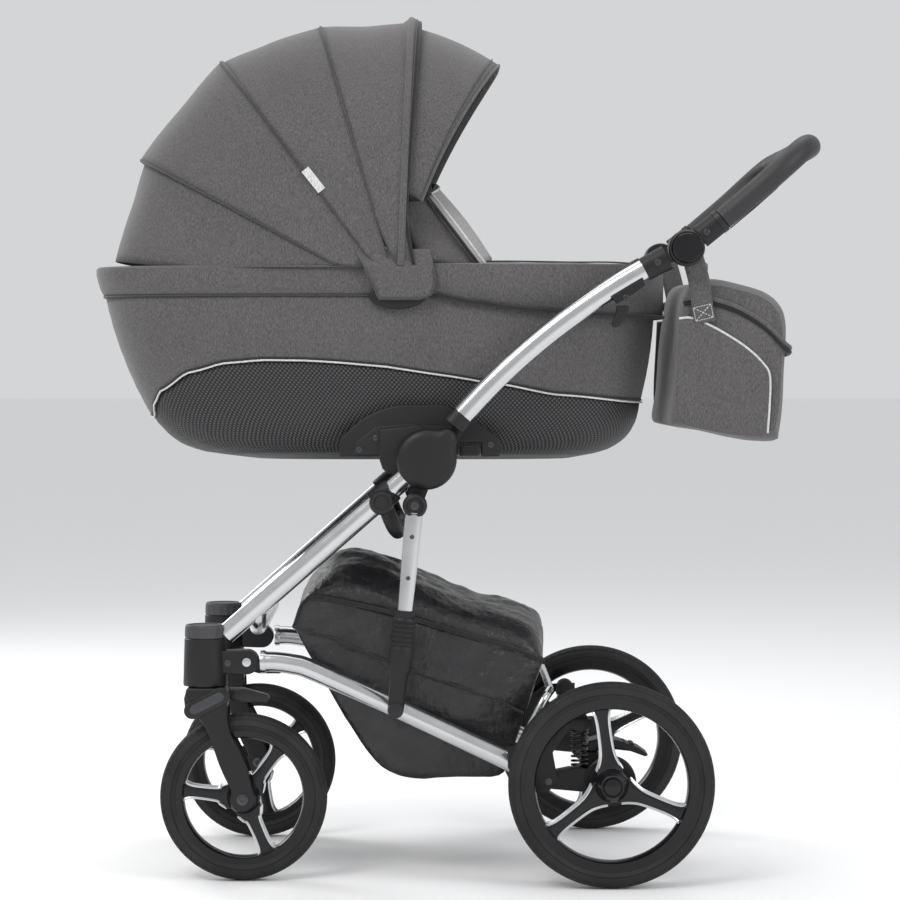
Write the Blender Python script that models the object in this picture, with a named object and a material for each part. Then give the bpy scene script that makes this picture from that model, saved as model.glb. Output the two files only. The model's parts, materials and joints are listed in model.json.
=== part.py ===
"""Pram with a carrycot: folding chassis, swivelling front wheels, sprung rear axle, hood and bag.

Metres, +Z up. X runs from the head end (-X) to the handle (+X). The origin is on the floor,
at the middle of the whole pram. "left" is the pusher's left, at -Y.
"""
import math

import bmesh
import bpy
from mathutils import Matrix, Vector

# Driving dimensions -------------------------------------------------------------------
GAP = 0.0005               # clearance between neighbouring pieces
PRESS = 0.0032             # clearance under a push button, for its travel
SIDES = {"left": -1, "right": 1}

TUBE_Y = 0.232            # middle of the handle tubes, and of the legs at the fold joint
TUBE_A, TUBE_B = 0.0150, 0.0107   # half height and half width of the oval tubes
LEG_FOOT_Y = 0.198        # middle of the caster housings
RAIL_Y, RAIL_R = 0.205, 0.0147
STRUT_Y = 0.2625

FRONT_PIVOT = (-0.3040, 0.3170)   # leg on rail
FOLD_PIVOT = (-0.0450, 0.6100)    # handle tube on leg
CRANK_PIN = (-0.0615, 0.5450)     # strut top
STRUT_PIVOT = (-0.0890, 0.2540)   # strut bottom on rail
ANGLE_PIVOT = (0.3265, 0.9120)    # handlebar on handle tube
HOOD_PIVOT = (-0.0835, 0.8390)
AXLE_PIVOT = (0.1287, 0.1470)     # rear suspension arm on bracket

CASTER_X = -0.3645
FRONT_WHEEL = (-0.3095, 0.1210)
FRONT_R, FRONT_RIM = 0.1210, 0.0875
REAR_WHEEL = (0.2185, 0.1475)
REAR_R, REAR_RIM = 0.1475, 0.1090
REAR_Y = 0.270
TYRE_HALF = 0.0215

# Cot outline, level by level: height, head end x, foot end x, half width
COT_LEVELS = [(0.606, -0.300, 0.170, 0.105), (0.618, -0.385, 0.225, 0.145),
              (0.650, -0.437, 0.262, 0.172), (0.700, -0.470, 0.276, 0.180),
              (0.790, -0.506, 0.290, 0.186), (0.886, -0.533, 0.300, 0.190)]
COT_WALL = 0.006
HOOD_LENGTH = 0.430       # from the hood pivot to the crown of a bow
HOOD_SKIN = 0.003
HOOD_STEP = 0.006         # each panel is this much larger than the one behind it
HOOD_SEAMS = [14.2, 28.8, 53.4, 73.9, 93.0]   # degrees up from the head end
VISOR_ANGLES = (94.0, 112.7)

COLOURS = {
    "chrome": ((0.78, 0.79, 0.80), 0.12, 1.0),
    "black_plastic": ((0.025, 0.025, 0.028), 0.45, 0.0),
    "gloss_black": ((0.012, 0.012, 0.014), 0.15, 0.0),
    "rubber": ((0.018, 0.018, 0.020), 0.75, 0.0),
    "grey_fabric": ((0.115, 0.110, 0.112), 0.90, 0.0),
    "black_fabric": ((0.015, 0.015, 0.017), 0.55, 0.0),
    "grip": ((0.03, 0.03, 0.032), 0.6, 0.0),
    "mattress": ((0.75, 0.75, 0.74), 0.9, 0.0),
}


# Tools --------------------------------------------------------------------------------
def material(name):
    found = bpy.data.materials.get(name)
    if found:
        return found
    colour, rough, metal = COLOURS[name]
    made = bpy.data.materials.new(name)
    made.use_nodes = True
    shader = made.node_tree.nodes["Principled BSDF"]
    shader.inputs["Base Color"].default_value = (*colour, 1.0)
    shader.inputs["Roughness"].default_value = rough
    shader.inputs["Metallic"].default_value = metal
    return made


def loft(rings, closed=False):
    """A closed mesh through rings of equal length; open ends are capped."""
    bm = bmesh.new()
    loops = [[bm.verts.new(p) for p in ring] for ring in rings]
    count = len(loops[0])
    pairs = list(zip(loops, loops[1:]))
    if closed:
        pairs.append((loops[-1], loops[0]))
    for low, high in pairs:
        for i in range(count):
            j = (i + 1) % count
            bm.faces.new((low[i], low[j], high[j], high[i]))
    if not closed:
        bm.faces.new(loops[0])
        bm.faces.new(loops[-1])
    bmesh.ops.recalc_face_normals(bm, faces=bm.faces)
    return bm


def swept(points, half_z, half_y=None, sides=10):
    """An oval tube along points."""
    half_y = half_y or half_z
    pts = [Vector(p) for p in points]
    rings = []
    up = None
    for i, p in enumerate(pts):
        before = pts[max(i - 1, 0)]
        after = pts[min(i + 1, len(pts) - 1)]
        along = (after - before).normalized()
        if up is None:
            across = Vector((0, 1, 0)) - along * along.y
            if across.length < 0.3:
                across = Vector((1, 0, 0)) - along * along.x
            across.normalize()
        else:
            across = along.cross(up) * -1
            across.normalize()
        up = along.cross(across)
        turn = [2 * math.pi * (k + 0.5) / sides for k in range(sides)]
        rings.append([p + across * half_y * math.cos(t) + up * half_z * math.sin(t) for t in turn])
    return loft(rings)


def plate(outline, y_low, y_high):
    """An outline in X and Z, as thick as two Y values."""
    return loft([[(x, y, z) for x, z in outline] for y in (y_low, y_high)])


def disc(centre, radius, y_low, y_high, sides=20, bevel=0.0):
    """A round boss about Y; bevel rounds the rim at y_high."""
    x, z = centre

    def ring(r, y):
        turn = [2 * math.pi * i / sides for i in range(sides)]
        return [(x + r * math.cos(t), y, z + r * math.sin(t)) for t in turn]

    rings = [ring(radius, y_low), ring(radius, y_high)]
    if bevel:
        inward = math.copysign(bevel, y_high - y_low)
        rings = [ring(radius, y_low), ring(radius, y_high - inward), ring(radius - bevel, y_high)]
    return loft(rings)


def turned(centre, y_mid, profile, sides):
    """A ring about Y from a closed profile of radius and offset along Y."""
    x, z = centre
    rings = []
    for i in range(sides):
        t = 2 * math.pi * i / sides
        rings.append([(x + r * math.cos(t), y_mid + y, z + r * math.sin(t)) for r, y in profile])
    return loft(rings, closed=True)


def spline(points, steps):
    """Catmull-Rom curve through points."""
    pts = [Vector(p) for p in points]
    pts = [pts[0] * 2 - pts[1], *pts, pts[-1] * 2 - pts[-2]]
    out = []
    for a, b, c, d in zip(pts, pts[1:], pts[2:], pts[3:]):
        for i in range(steps):
            t = i / steps
            out.append(0.5 * (2 * b + (c - a) * t + (2 * a - 5 * b + 4 * c - d) * t * t
                              + (3 * b - a - 3 * c + d) * t ** 3))
    out.append(pts[-2])
    return out


def scratch_object(bm):
    mesh = bpy.data.meshes.new("scratch")
    bm.to_mesh(mesh)
    bm.free()
    made = bpy.data.objects.new("scratch", mesh)
    bpy.context.scene.collection.objects.link(made)
    return made


def combine(base, others, operation="UNION"):
    """One mesh out of several by exact booleans."""
    body = scratch_object(base)
    for other in others:
        tool = scratch_object(other)
        step = body.modifiers.new("step", "BOOLEAN")
        step.operation = operation
        step.solver = "EXACT"
        step.object = tool
        graph = bpy.context.evaluated_depsgraph_get()
        mesh = bpy.data.meshes.new_from_object(body.evaluated_get(graph))
        body.modifiers.clear()
        body.data = mesh
        bpy.data.objects.remove(tool)
    out = bmesh.new()
    out.from_mesh(body.data)
    bmesh.ops.remove_doubles(out, verts=out.verts, dist=0.00002)
    bmesh.ops.dissolve_degenerate(out, edges=out.edges, dist=0.00001)
    bpy.data.objects.remove(body)
    return out


def node(name, bm, finish, origin=(0, 0, 0)):
    """The finished sub-part, with its origin on its joint."""
    bmesh.ops.triangulate(bm, faces=bm.faces)
    bmesh.ops.translate(bm, verts=bm.verts, vec=-Vector(origin))
    mesh = bpy.data.meshes.new(name)
    bm.to_mesh(mesh)
    bm.free()
    mesh.shade_smooth()
    mesh.set_sharp_from_angle(angle=math.radians(35))
    made = bpy.data.objects.new(name, mesh)
    made.location = origin
    made.data.materials.append(material(finish))
    bpy.context.scene.collection.objects.link(made)
    return made


def on(pivot, y=0.0):
    return (pivot[0], y, pivot[1])


def towards(start, end, distance):
    """The point in X and Z at a distance from start towards end."""
    a, b = Vector(start), Vector(end)
    return a + (b - a).normalized() * distance


# Chassis ------------------------------------------------------------------------------
def rails():
    for name, s in SIDES.items():
        path = [(-0.2845, 0.3170), (-0.262, 0.3168), (-0.238, 0.3135), (-0.212, 0.306),
                (-0.050, 0.2314), (0.1040, 0.1595)]
        node(f"rail_{name}", swept([(x, s * RAIL_Y, z) for x, z in path], RAIL_R, sides=12), "chrome")


def rear_brackets():
    """Plates outside the rail ends that hold the suspension pivot and the spring's top seat."""
    outline = [(0.070, 0.196), (0.106, 0.206), (0.146, 0.236), (0.192, 0.238), (0.192, 0.2265),
               (0.160, 0.2240), (0.136, 0.190), (0.143, 0.150), (0.130, 0.133), (0.112, 0.133),
               (0.078, 0.165)]
    for name, s in SIDES.items():
        skin = plate(outline, s * 0.2335, s * 0.2405)
        foot = plate([(0.072, 0.166), (0.104, 0.150), (0.104, 0.192), (0.072, 0.196)], s * 0.2202, s * 0.236)
        seat = disc((0.1755, 0.2322), 0.0135, s * 0.2065, s * 0.236, 16)
        # The seat lies flat over the spring, so its lower half is planed off.
        trim = plate([(0.15, 0.2), (0.20, 0.2), (0.20, 0.2265), (0.15, 0.2265)], s * 0.2, s * 0.233)
        body = combine(skin, [foot, seat])
        node(f"rear_bracket_{name}", combine(body, [trim], "DIFFERENCE"), "black_plastic")


def springs():
    """Coil springs between the swing arm and the bracket's seat."""
    radius, wire, turns, low, high = 0.0112, 0.0018, 7, 0.1678, 0.2238
    for name, s in SIDES.items():
        steps = turns * 8
        path = []
        for i in range(steps + 1):
            t = 2 * math.pi * turns * i / steps
            height = low + (high - low) * i / steps
            path.append((0.1755 + radius * math.cos(t), s * 0.2200 + radius * math.sin(t), height))
        curve = bpy.data.curves.new(f"spring_{name}", "CURVE")
        curve.dimensions = "3D"
        curve.bevel_depth = wire
        curve.bevel_resolution = 0
        curve.use_fill_caps = True
        line = curve.splines.new("POLY")
        line.points.add(len(path) - 1)
        for point, place in zip(line.points, path):
            point.co = (*place, 1)
        curve.materials.append(material("black_plastic"))
        made = bpy.data.objects.new(f"spring_{name}", curve)
        bpy.context.scene.collection.objects.link(made)


def basket_hoop():
    """Chrome hoop that stands on the rails and holds the basket's rear edge."""
    path = []
    for s in (-1, 1):
        leg = [(0.088, s * 0.1915, 0.1880), (0.106, s * 0.1925, 0.2250), (0.122, s * 0.1900, 0.2560),
               (0.131, s * 0.1780, 0.2700), (0.134, s * 0.1550, 0.2760)]
        path.append(leg)
    route = path[0] + [tuple(p) for p in reversed(path[1])]
    node("basket_hoop", swept(route, 0.0055, sides=8), "chrome")


def basket_side():
    """Side outline of the basket in X and Z, from the mouth's front round to its rear."""
    return [(-0.2280, 0.3520), (-0.196, 0.292), (-0.140, 0.196), (-0.104, 0.160), (-0.050, 0.146),
            (0.062, 0.150), (0.086, 0.212), (0.1120, 0.3000)]


def basket():
    """Soft shopping basket: an open tub whose sides slope in."""
    outer_y, wall = 0.184, 0.004
    floor_y = 0.165

    def half(z):
        return floor_y + (outer_y - floor_y) * min(1.0, (z - 0.146) / 0.12)

    outline = basket_side()
    tub = loft([[(x, s * half(z), z) for x, z in outline] for s in (-1, 1)])
    middle = Vector((-0.05, 0.26))
    hollow = []
    for x, z in outline:
        inward = (middle - Vector((x, z))).normalized() * wall * 1.3
        hollow.append((x + inward.x, z + inward.y))
    hollow[0] = (outline[0][0] + 0.006, outline[0][1] + 0.05)
    hollow[-1] = (outline[-1][0] - 0.006, outline[-1][1] + 0.05)
    cut = loft([[(x, s * (half(min(z, 0.37)) - wall), z) for x, z in hollow] for s in (-1, 1)])
    node("basket", combine(tub, [cut], "DIFFERENCE"), "black_fabric")


def basket_cover():
    """Soft lid over the basket, high at the front, sagging to the rear."""
    top = [(-0.238, 0.392), (-0.212, 0.428), (-0.170, 0.461), (-0.120, 0.455), (-0.050, 0.432),
           (0.020, 0.410), (0.080, 0.388), (0.124, 0.362), (0.127, 0.334)]
    under = [(-0.232, 0.376), (-0.205, 0.420), (-0.168, 0.452), (-0.120, 0.446), (-0.050, 0.423),
             (0.020, 0.401), (0.076, 0.380), (0.116, 0.355), (0.119, 0.326)]
    rings = []
    for y in (-0.184, -0.178, -0.12, 0.0, 0.12, 0.178, 0.184):
        lift = -0.012 * (abs(y) / 0.184) ** 3
        rings.append([(x, y, z + lift) for x, z in top] + [(x, y, z + lift) for x, z in reversed(under)])
    bm = loft(rings)
    node("basket_cover", bm, "black_fabric")


# Rear axle ----------------------------------------------------------------------------
def rear_axle():
    """Axle tube with its two swing arms, spring seats and brake drums, in one casting."""
    axle = swept([(REAR_WHEEL[0], y, REAR_WHEEL[1]) for y in (-0.2445, 0.0, 0.2445)], 0.0095, sides=12)
    parts = []
    arm = [(0.1175, 0.150), (0.124, 0.158), (0.160, 0.1655), (0.192, 0.1655), (0.232, 0.155),
           (0.232, 0.138), (0.200, 0.130), (0.130, 0.1365), (0.1195, 0.141)]
    for s in (-1, 1):
        parts.append(plate(arm, s * 0.203, s * 0.2325))
        parts.append(disc(REAR_WHEEL, 0.037, s * 0.2295, s * 0.2415, 20))
    post = [(0.176, 0.160), (0.206, 0.160), (0.203, 0.1855), (0.180, 0.1855)]
    parts.append(plate(post, -0.2050, -0.1750))
    node("rear_axle", combine(axle, parts), "black_plastic", on(AXLE_PIVOT))


def brake_pedal():
    top = [(0.183, 0.200), (0.205, 0.206), (0.232, 0.203), (0.262, 0.192), (0.276, 0.182), (0.272, 0.179),
           (0.250, 0.187), (0.215, 0.191), (0.197, 0.1865), (0.184, 0.1865)]
    node("brake_pedal", plate(top, -0.2080, -0.1600), "black_plastic", (0.190, -0.190, 0.193))


# Wheels -------------------------------------------------------------------------------
def wheel(name, centre, y, outer, rim_inner, first_spoke, spokes=3):
    """Tyre, and a rim with three hollow-sided spokes and a hub."""
    seat = outer - 0.026
    tyre = []
    for i in range(8):
        t = math.pi * 2 * (i + 0.5) / 8
        tyre.append((seat + 0.0128 + 0.0132 * math.cos(t), TYRE_HALF * math.sin(t)))
    top = outer / (seat + 0.0128 + 0.0132 * math.cos(math.pi / 8))
    tyre = [(r * top, v) for r, v in tyre]
    bottom = min(r for r, _ in tyre)
    bm = turned(centre, y, tyre, 32)
    node(f"{name}_tyre", bm, "rubber", (centre[0], y, centre[1]))

    out = bottom * math.cos(math.pi / 32) - GAP
    rim = turned(centre, y, [(out, 0.011), (out, -0.011), (rim_inner, -0.0125), (rim_inner, 0.0125)], 32)
    hub_y = (-0.0225, 0.0225)
    hub = disc(centre, 0.0165, y + hub_y[0], y + hub_y[1], 16)
    parts = [hub]
    for k in range(spokes):
        t = math.radians(first_spoke + 360 * k / spokes)
        d = Vector((math.cos(t), math.sin(t)))
        n = Vector((-d.y, d.x))
        c = Vector(centre)
        reach = rim_inner + 0.004
        outline = [c + d * 0.004 + n * 0.012, c + d * 0.030 + n * 0.0125, c + d * (reach * 0.62) + n * 0.0075,
                   c + d * reach + n * 0.008, c + d * reach - n * 0.008, c + d * (reach * 0.62) - n * 0.0075,
                   c + d * 0.030 - n * 0.0125, c + d * 0.004 - n * 0.012]
        parts.append(plate([tuple(p) for p in outline], y - 0.0085, y + 0.0085))
    node(f"{name}_rim", combine(rim, parts), "gloss_black", (centre[0], y, centre[1]))


def wheels():
    for name, s in SIDES.items():
        wheel(f"front_wheel_{name}", FRONT_WHEEL, s * LEG_FOOT_Y, FRONT_R, FRONT_RIM, 53.5 if s < 0 else 40.0)
        wheel(f"rear_wheel_{name}", REAR_WHEEL, s * REAR_Y, REAR_R, REAR_RIM, 98.0 if s < 0 else 26.0)
        face = s * (REAR_Y + 0.0225)
        node(f"hub_button_{name}", disc(REAR_WHEEL, 0.0125, face + s * PRESS,
                                         face + s * (PRESS + 0.005), 16, 0.002),
             "black_plastic", on(REAR_WHEEL, face))


# Legs ---------------------------------------------------------------------------------
def legs():
    """Oval leg tubes from the fold joint down to the caster housings."""
    foot = (-0.3215, 0.3678)
    top = towards(FOLD_PIVOT, foot, 0.0445)
    for name, s in SIDES.items():
        ends = [(top.x, s * TUBE_Y, top.y), (foot[0], s * (LEG_FOOT_Y + 0.002), foot[1])]
        node(f"leg_{name}", swept(ends, TUBE_A, TUBE_B, 12), "chrome")


def caster_housings():
    """Upright bearing housings with the bracket that holds the rail's pivot."""
    fx, fz = FRONT_PIVOT
    for name, s in SIDES.items():
        y = s * LEG_FOOT_Y
        rings = []
        for z, r in ((0.2825, 0.0317), (0.300, 0.0312), (0.352, 0.0292), (0.368, 0.0287), (0.372, 0.026)):
            turn = [2 * math.pi * i / 20 for i in range(20)]
            rings.append([(CASTER_X + r * math.cos(t), y + r * math.sin(t), z) for t in turn])
        outline = [(CASTER_X + 0.010, fz - 0.0165), (fx, fz - 0.0175)]
        outline += [(fx + 0.0175 * math.cos(t), fz + 0.0175 * math.sin(t))
                    for t in [math.radians(a) for a in (-60, -30, 0, 30, 60)]]
        outline += [(fx, fz + 0.0175), (CASTER_X + 0.010, fz + 0.0165)]
        y_low, y_high = sorted((y - s * 0.011, y + s * 0.0165))
        block = plate(outline, y_low, y_high)
        node(f"caster_housing_{name}", combine(loft(rings), [block]), "black_plastic")


def front_cross_tube():
    """Chrome tube between the legs, just above the rail pivots."""
    y = 0.1835
    points = [(-0.2900, -y, 0.3660), (-0.2895, -0.150, 0.3660), (-0.2895, 0.150, 0.3660),
              (-0.2900, y, 0.3660)]
    node("front_cross_tube", swept(points, 0.0120, sides=12), "chrome")


def cross_brace():
    """Black U-shaped brace that ties the two legs together ahead of the fold joint."""
    half = [(-0.1060, 0.2030, 0.5480), (-0.1010, 0.2010, 0.5300), (-0.0920, 0.1940, 0.5110),
            (-0.0865, 0.1760, 0.5030), (-0.0855, 0.1400, 0.5010)]
    route = [(x, -y, z) for x, y, z in half] + [(x, y, z) for x, y, z in reversed(half)]
    body = swept(route, 0.0105, 0.0085, sides=10)
    clamps = []
    axis = (Vector((-0.3215, 0.3678)) - Vector(FOLD_PIVOT)).normalized()
    normal = Vector((-axis.y, axis.x))
    centre = Vector((-0.1060, 0.5565))
    for s in (-1, 1):
        corners = [centre + axis * a + normal * b for a, b in
                   ((-0.015, -0.017), (0.015, -0.017), (0.015, 0.010), (-0.015, 0.010))]
        clamps.append(plate([tuple(p) for p in corners], s * 0.2060, s * 0.2135))
    node("cross_brace", combine(body, clamps), "black_plastic")


def fold_covers():
    """Pear-shaped covers over the fold joints; they are fixed to the legs."""
    px, pz = FOLD_PIVOT
    lobe = (px + 0.0297, pz + 0.0297)
    for name, s in SIDES.items():
        outline = [(px + 0.0435 * math.cos(math.radians(a)), pz + 0.0435 * math.sin(math.radians(a)))
                   for a in range(80, 371, 15)]
        outline += [(lobe[0] + 0.014 * math.cos(math.radians(a)), lobe[1] + 0.014 * math.sin(math.radians(a)))
                    for a in range(-30, 121, 30)]
        inset = [(px + (x - px) * 0.88, pz + (z - pz) * 0.88) for x, z in outline]
        rings = [[(x, s * 0.2235, z) for x, z in outline], [(x, s * 0.2435, z) for x, z in outline],
                 [(x, s * 0.2490, z) for x, z in inset]]
        node(f"fold_cover_{name}", loft(rings), "black_plastic")


def cradles():
    """Sockets on the legs that take the carrycot's brackets."""
    outline = [(-0.1130, 0.652), (-0.0540, 0.659), (-0.0256, 0.631), (-0.0256, 0.5900), (-0.0620, 0.5770),
               (-0.0960, 0.5880), (-0.1080, 0.5950), (-0.1130, 0.6100)]
    for name, s in SIDES.items():
        body = plate(outline, s * 0.2045, s * 0.2155)
        node(f"cradle_{name}", body, "black_plastic")


# Handle -------------------------------------------------------------------------------
def handle_curve():
    """Centre line in X and Z from the fold joint to the angle joint, bowed upwards."""
    start, end = Vector(FOLD_PIVOT), Vector(ANGLE_PIVOT)
    chord = end - start
    normal = Vector((-chord.y, chord.x)).normalized()
    bow = 0.030
    return [start + chord * t + normal * bow * 4 * t * (1 - t) for t in [i / 200 for i in range(201)]]


def curve_between(first, last):
    """The stretch of the handle's centre line between two distances from its ends."""
    start, end = Vector(FOLD_PIVOT), Vector(ANGLE_PIVOT)
    pts = [p for p in handle_curve() if (p - start).length >= first and (p - end).length >= last]
    return pts[::20] + ([pts[-1]] if (len(pts) - 1) % 20 else [])


def crank(s):
    """Foot sleeve of a handle tube, with the plate that turns on the fold pivot and drives the strut."""
    px, pz = FOLD_PIVOT
    cx, cz = CRANK_PIN
    line = curve_between(0.0600, 0.0)
    first = line[0]
    way = (line[1] - first).normalized()
    ends = [first, first + way * 0.0170]
    sleeve = swept([(p.x, s * TUBE_Y, p.y) for p in ends], 0.0165, 0.0116, 12)
    web = [(px - 0.016, pz + 0.012), (px - 0.002, pz + 0.022), (first.x - 0.004, first.y + 0.012),
           (first.x + 0.012, first.y + 0.006), (first.x + 0.004, first.y - 0.012), (px + 0.020, pz - 0.006),
           (px + 0.010, pz - 0.025), (cx + 0.0115, cz - 0.002), (cx + 0.005, cz - 0.0105),
           (cx - 0.006, cz - 0.0100), (cx - 0.0115, cz), (px - 0.020, pz - 0.022)]
    thin = plate(web, s * 0.2165, s * 0.2208)
    pin = disc(CRANK_PIN, 0.008, s * 0.2180, s * 0.2512, 12)
    return [sleeve, thin, pin]


def trigger_housing(s):
    """Housing clamped under a handle tube, which the fold trigger turns in."""
    tx, tz = trigger_pivot()
    spots = [q for q in handle_curve() if 0.080 < (q - Vector(ANGLE_PIVOT)).length < 0.140]
    a, b = spots[0], spots[-1]
    way = (b - a).normalized()
    down = Vector((way.y, -way.x))
    y = s * TUBE_Y
    corners = [a + down * 0.0080, b + down * 0.0080, b + down * 0.0215 - way * 0.004,
               Vector((tx, tz)) + way * 0.0120 - down * 0.001, Vector((tx, tz)) - way * 0.0120 - down * 0.001,
               a + down * 0.0200 + way * 0.006]
    return plate([tuple(c) for c in corners], y - 0.0100, y + 0.0100)


def handle_tubes():
    """Bowed handle tubes, each in one piece with its crank and the fold trigger's housing."""
    for name, s in SIDES.items():
        y = s * TUBE_Y
        body = swept([(p.x, y, p.y) for p in curve_between(0.0740, 0.0660)], TUBE_A, TUBE_B, 12)
        whole = combine(body, crank(s) + [trigger_housing(s)])
        node(f"handle_tube_{name}", whole, "chrome", on(FOLD_PIVOT, y))


def angle_joints():
    """Round angle joints with a sleeve over each handle tube's top end."""
    for name, s in SIDES.items():
        cap = disc(ANGLE_PIVOT, 0.0256, s * 0.2190, s * 0.2480, 24, 0.003)
        way = [p for p in handle_curve() if 0.012 < (p - Vector(ANGLE_PIVOT)).length < 0.0655]
        way = [way[0], way[len(way) // 2], way[-1]]
        sleeve = swept([(p.x, s * TUBE_Y, p.y) for p in way], 0.0176, 0.0125, 12)
        node(f"angle_joint_{name}", combine(cap, [sleeve]), "black_plastic")


def trigger_pivot():
    """Point under the handle tube where the fold trigger turns."""
    p = [q for q in handle_curve() if (q - Vector(ANGLE_PIVOT)).length < 0.112][0]
    return (p.x + 0.006, p.y - 0.0265)


def fold_triggers():
    """Finger levers under the handle tubes that release the fold."""
    tx, tz = trigger_pivot()
    way = (Vector(ANGLE_PIVOT) - Vector((tx, tz))).normalized()
    down = Vector((way.y, -way.x)) * 0.0016
    for name, s in SIDES.items():
        y = s * TUBE_Y
        lever = [(tx - 0.0085, tz - 0.0030), (tx + 0.0085, tz - 0.0030), (tx + 0.0070, tz - 0.0120),
                 (tx - 0.0045, tz - 0.0330), (tx - 0.0135, tz - 0.0350), (tx - 0.0150, tz - 0.0300)]
        lever = [tuple(Vector(p) + down) for p in lever]
        node(f"fold_trigger_{name}", plate(lever, y - 0.0090, y + 0.0090), "black_plastic", on((tx, tz), y))


def grip_arm():
    """Route of one side arm, from the angle joint to the middle of the crossbar, at +Y."""
    jx, jz = ANGLE_PIVOT
    return [(jx + 0.0225, TUBE_Y, jz + 0.0180), (jx + 0.052, TUBE_Y, jz + 0.0415),
            (jx + 0.105, 0.2315, jz + 0.0860), (jx + 0.144, 0.2270, jz + 0.1210),
            (jx + 0.168, 0.2080, jz + 0.1420), (jx + 0.182, 0.1750, jz + 0.1500),
            (jx + 0.188, 0.1200, jz + 0.1520), (jx + 0.190, 0.0, jz + 0.1525)]


def handlebar():
    """The U-shaped handlebar: black arms at the angle joints, and one grip round the rest."""
    route = spline(grip_arm(), 4)
    thin = route[::2] if route[-1] in route[::2] else route[::2] + [route[-1]]
    full = [(p.x, -p.y, p.z) for p in thin] + [tuple(p) for p in reversed(thin[:-1])]
    node("handlebar", swept(full, 0.0165, 0.0140, 12), "grip", on(ANGLE_PIVOT))


def angle_buttons():
    for name, s in SIDES.items():
        face = s * 0.2480
        node(f"angle_button_{name}", disc(ANGLE_PIVOT, 0.0200, face + s * PRESS,
                                           face + s * (PRESS + 0.005), 20, 0.002),
             "gloss_black", on(ANGLE_PIVOT, face))


# Struts -------------------------------------------------------------------------------
def struts():
    """Folding struts: a chrome rod above, in a thicker sleeve below that turns on the rail."""
    top, foot = Vector(CRANK_PIN), Vector(STRUT_PIVOT)
    way = (foot - top).normalized()
    length = (foot - top).length
    split = 0.1520
    for name, s in SIDES.items():
        y = s * STRUT_Y
        stations = [(0.006, 0.0115, 0.0085), (split, 0.0115, 0.0085), (split + 0.0005, 0.0165, 0.0100),
                    (length - 0.035, 0.0165, 0.0100), (length - 0.030, 0.0125, 0.0095),
                    (length + 0.004, 0.0120, 0.0095)]
        rings = []
        for d, half_x, half_y in stations:
            p = top + way * d
            normal = Vector((-way.y, way.x))
            turn = [2 * math.pi * (k + 0.5) / 12 for k in range(12)]
            rings.append([(p.x + normal.x * half_x * math.cos(t), y + half_y * math.sin(t),
                           p.y + normal.y * half_x * math.cos(t)) for t in turn])
        eye = disc(CRANK_PIN, 0.0170, s * 0.2520, s * (STRUT_Y + 0.0095), 18, 0.003)
        boss = disc(STRUT_PIVOT, 0.0115, s * 0.2202, s * (STRUT_Y + 0.0110), 14)
        node(f"strut_{name}", combine(loft(rings), [eye, boss]), "black_plastic", on(STRUT_PIVOT, y))


# Front forks --------------------------------------------------------------------------
def forks():
    wx, wz = FRONT_WHEEL
    arm = [(CASTER_X - 0.0260, 0.2810), (CASTER_X + 0.0310, 0.2810), (CASTER_X + 0.0330, 0.2500),
           (CASTER_X + 0.0360, 0.2200), (wx + 0.0140, wz + 0.0100), (wx + 0.0165, wz - 0.0040),
           (wx + 0.0080, wz - 0.0160), (wx - 0.0070, wz - 0.0160), (wx - 0.0165, wz - 0.0040),
           (CASTER_X + 0.0040, 0.2220), (CASTER_X - 0.0180, 0.2500)]
    for name, s in SIDES.items():
        y = s * LEG_FOOT_Y
        yoke = plate([(CASTER_X - 0.0280, 0.2470), (CASTER_X + 0.0320, 0.2470), (CASTER_X + 0.0300, 0.2815),
                      (CASTER_X - 0.0260, 0.2815)], y - 0.0260, y + 0.0260)
        arms = [plate(arm, y + side * 0.0248, y + side * 0.0330) for side in (-1, 1)]
        node(f"fork_{name}", combine(yoke, arms), "black_plastic", (CASTER_X, y, 0.2815))
        hinge_x = CASTER_X + 0.0400
        tongue = [(CASTER_X + 0.0345, 0.2780), (hinge_x + 0.014, 0.2780), (hinge_x + 0.044, 0.2690),
                  (hinge_x + 0.050, 0.2600), (hinge_x + 0.044, 0.2570), (hinge_x, 0.2600),
                  (CASTER_X + 0.0345, 0.2640)]
        node(f"swivel_lock_{name}", plate(tongue, y - 0.0110, y + 0.0110), "black_plastic",
             (CASTER_X + 0.0380, y, 0.2700))


# Carrycot -----------------------------------------------------------------------------
def superellipse(x_low, x_high, half, count, power=3.4, y_shift=0.0):
    """Points of a rounded rectangle in plan."""
    mid, reach = (x_low + x_high) / 2, (x_high - x_low) / 2
    out = []
    for i in range(count):
        t = 2 * math.pi * (i + 0.5) / count
        c, s = math.cos(t), math.sin(t)
        out.append((mid + reach * math.copysign(abs(c) ** (2 / power), c),
                    half * math.copysign(abs(s) ** (2 / power), s) + y_shift))
    return out


def cot_body():
    """Tub of the carrycot, open at the top."""
    count = 28
    rings = [[(x, y, z) for x, y in superellipse(a, b, h, count)] for z, a, b, h in COT_LEVELS]
    inner = []
    for z, a, b, h in reversed(COT_LEVELS[1:]):
        inner.append([(x, y, z) for x, y in superellipse(a + COT_WALL, b - COT_WALL, h - COT_WALL, count)])
    node("cot_body", loft(rings + inner), "grey_fabric")


def mattress():
    rings = []
    for z, level, inset in ((0.6225, 1, 0.016), (0.6500, 2, 0.010), (0.6700, 2, 0.010), (0.6760, 2, 0.022)):
        low, high, half = COT_LEVELS[level][1:]
        rings.append([(x, y, z) for x, y in superellipse(low + inset, high - inset, half - inset, 20)])
    node("mattress", loft(rings), "mattress")


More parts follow.
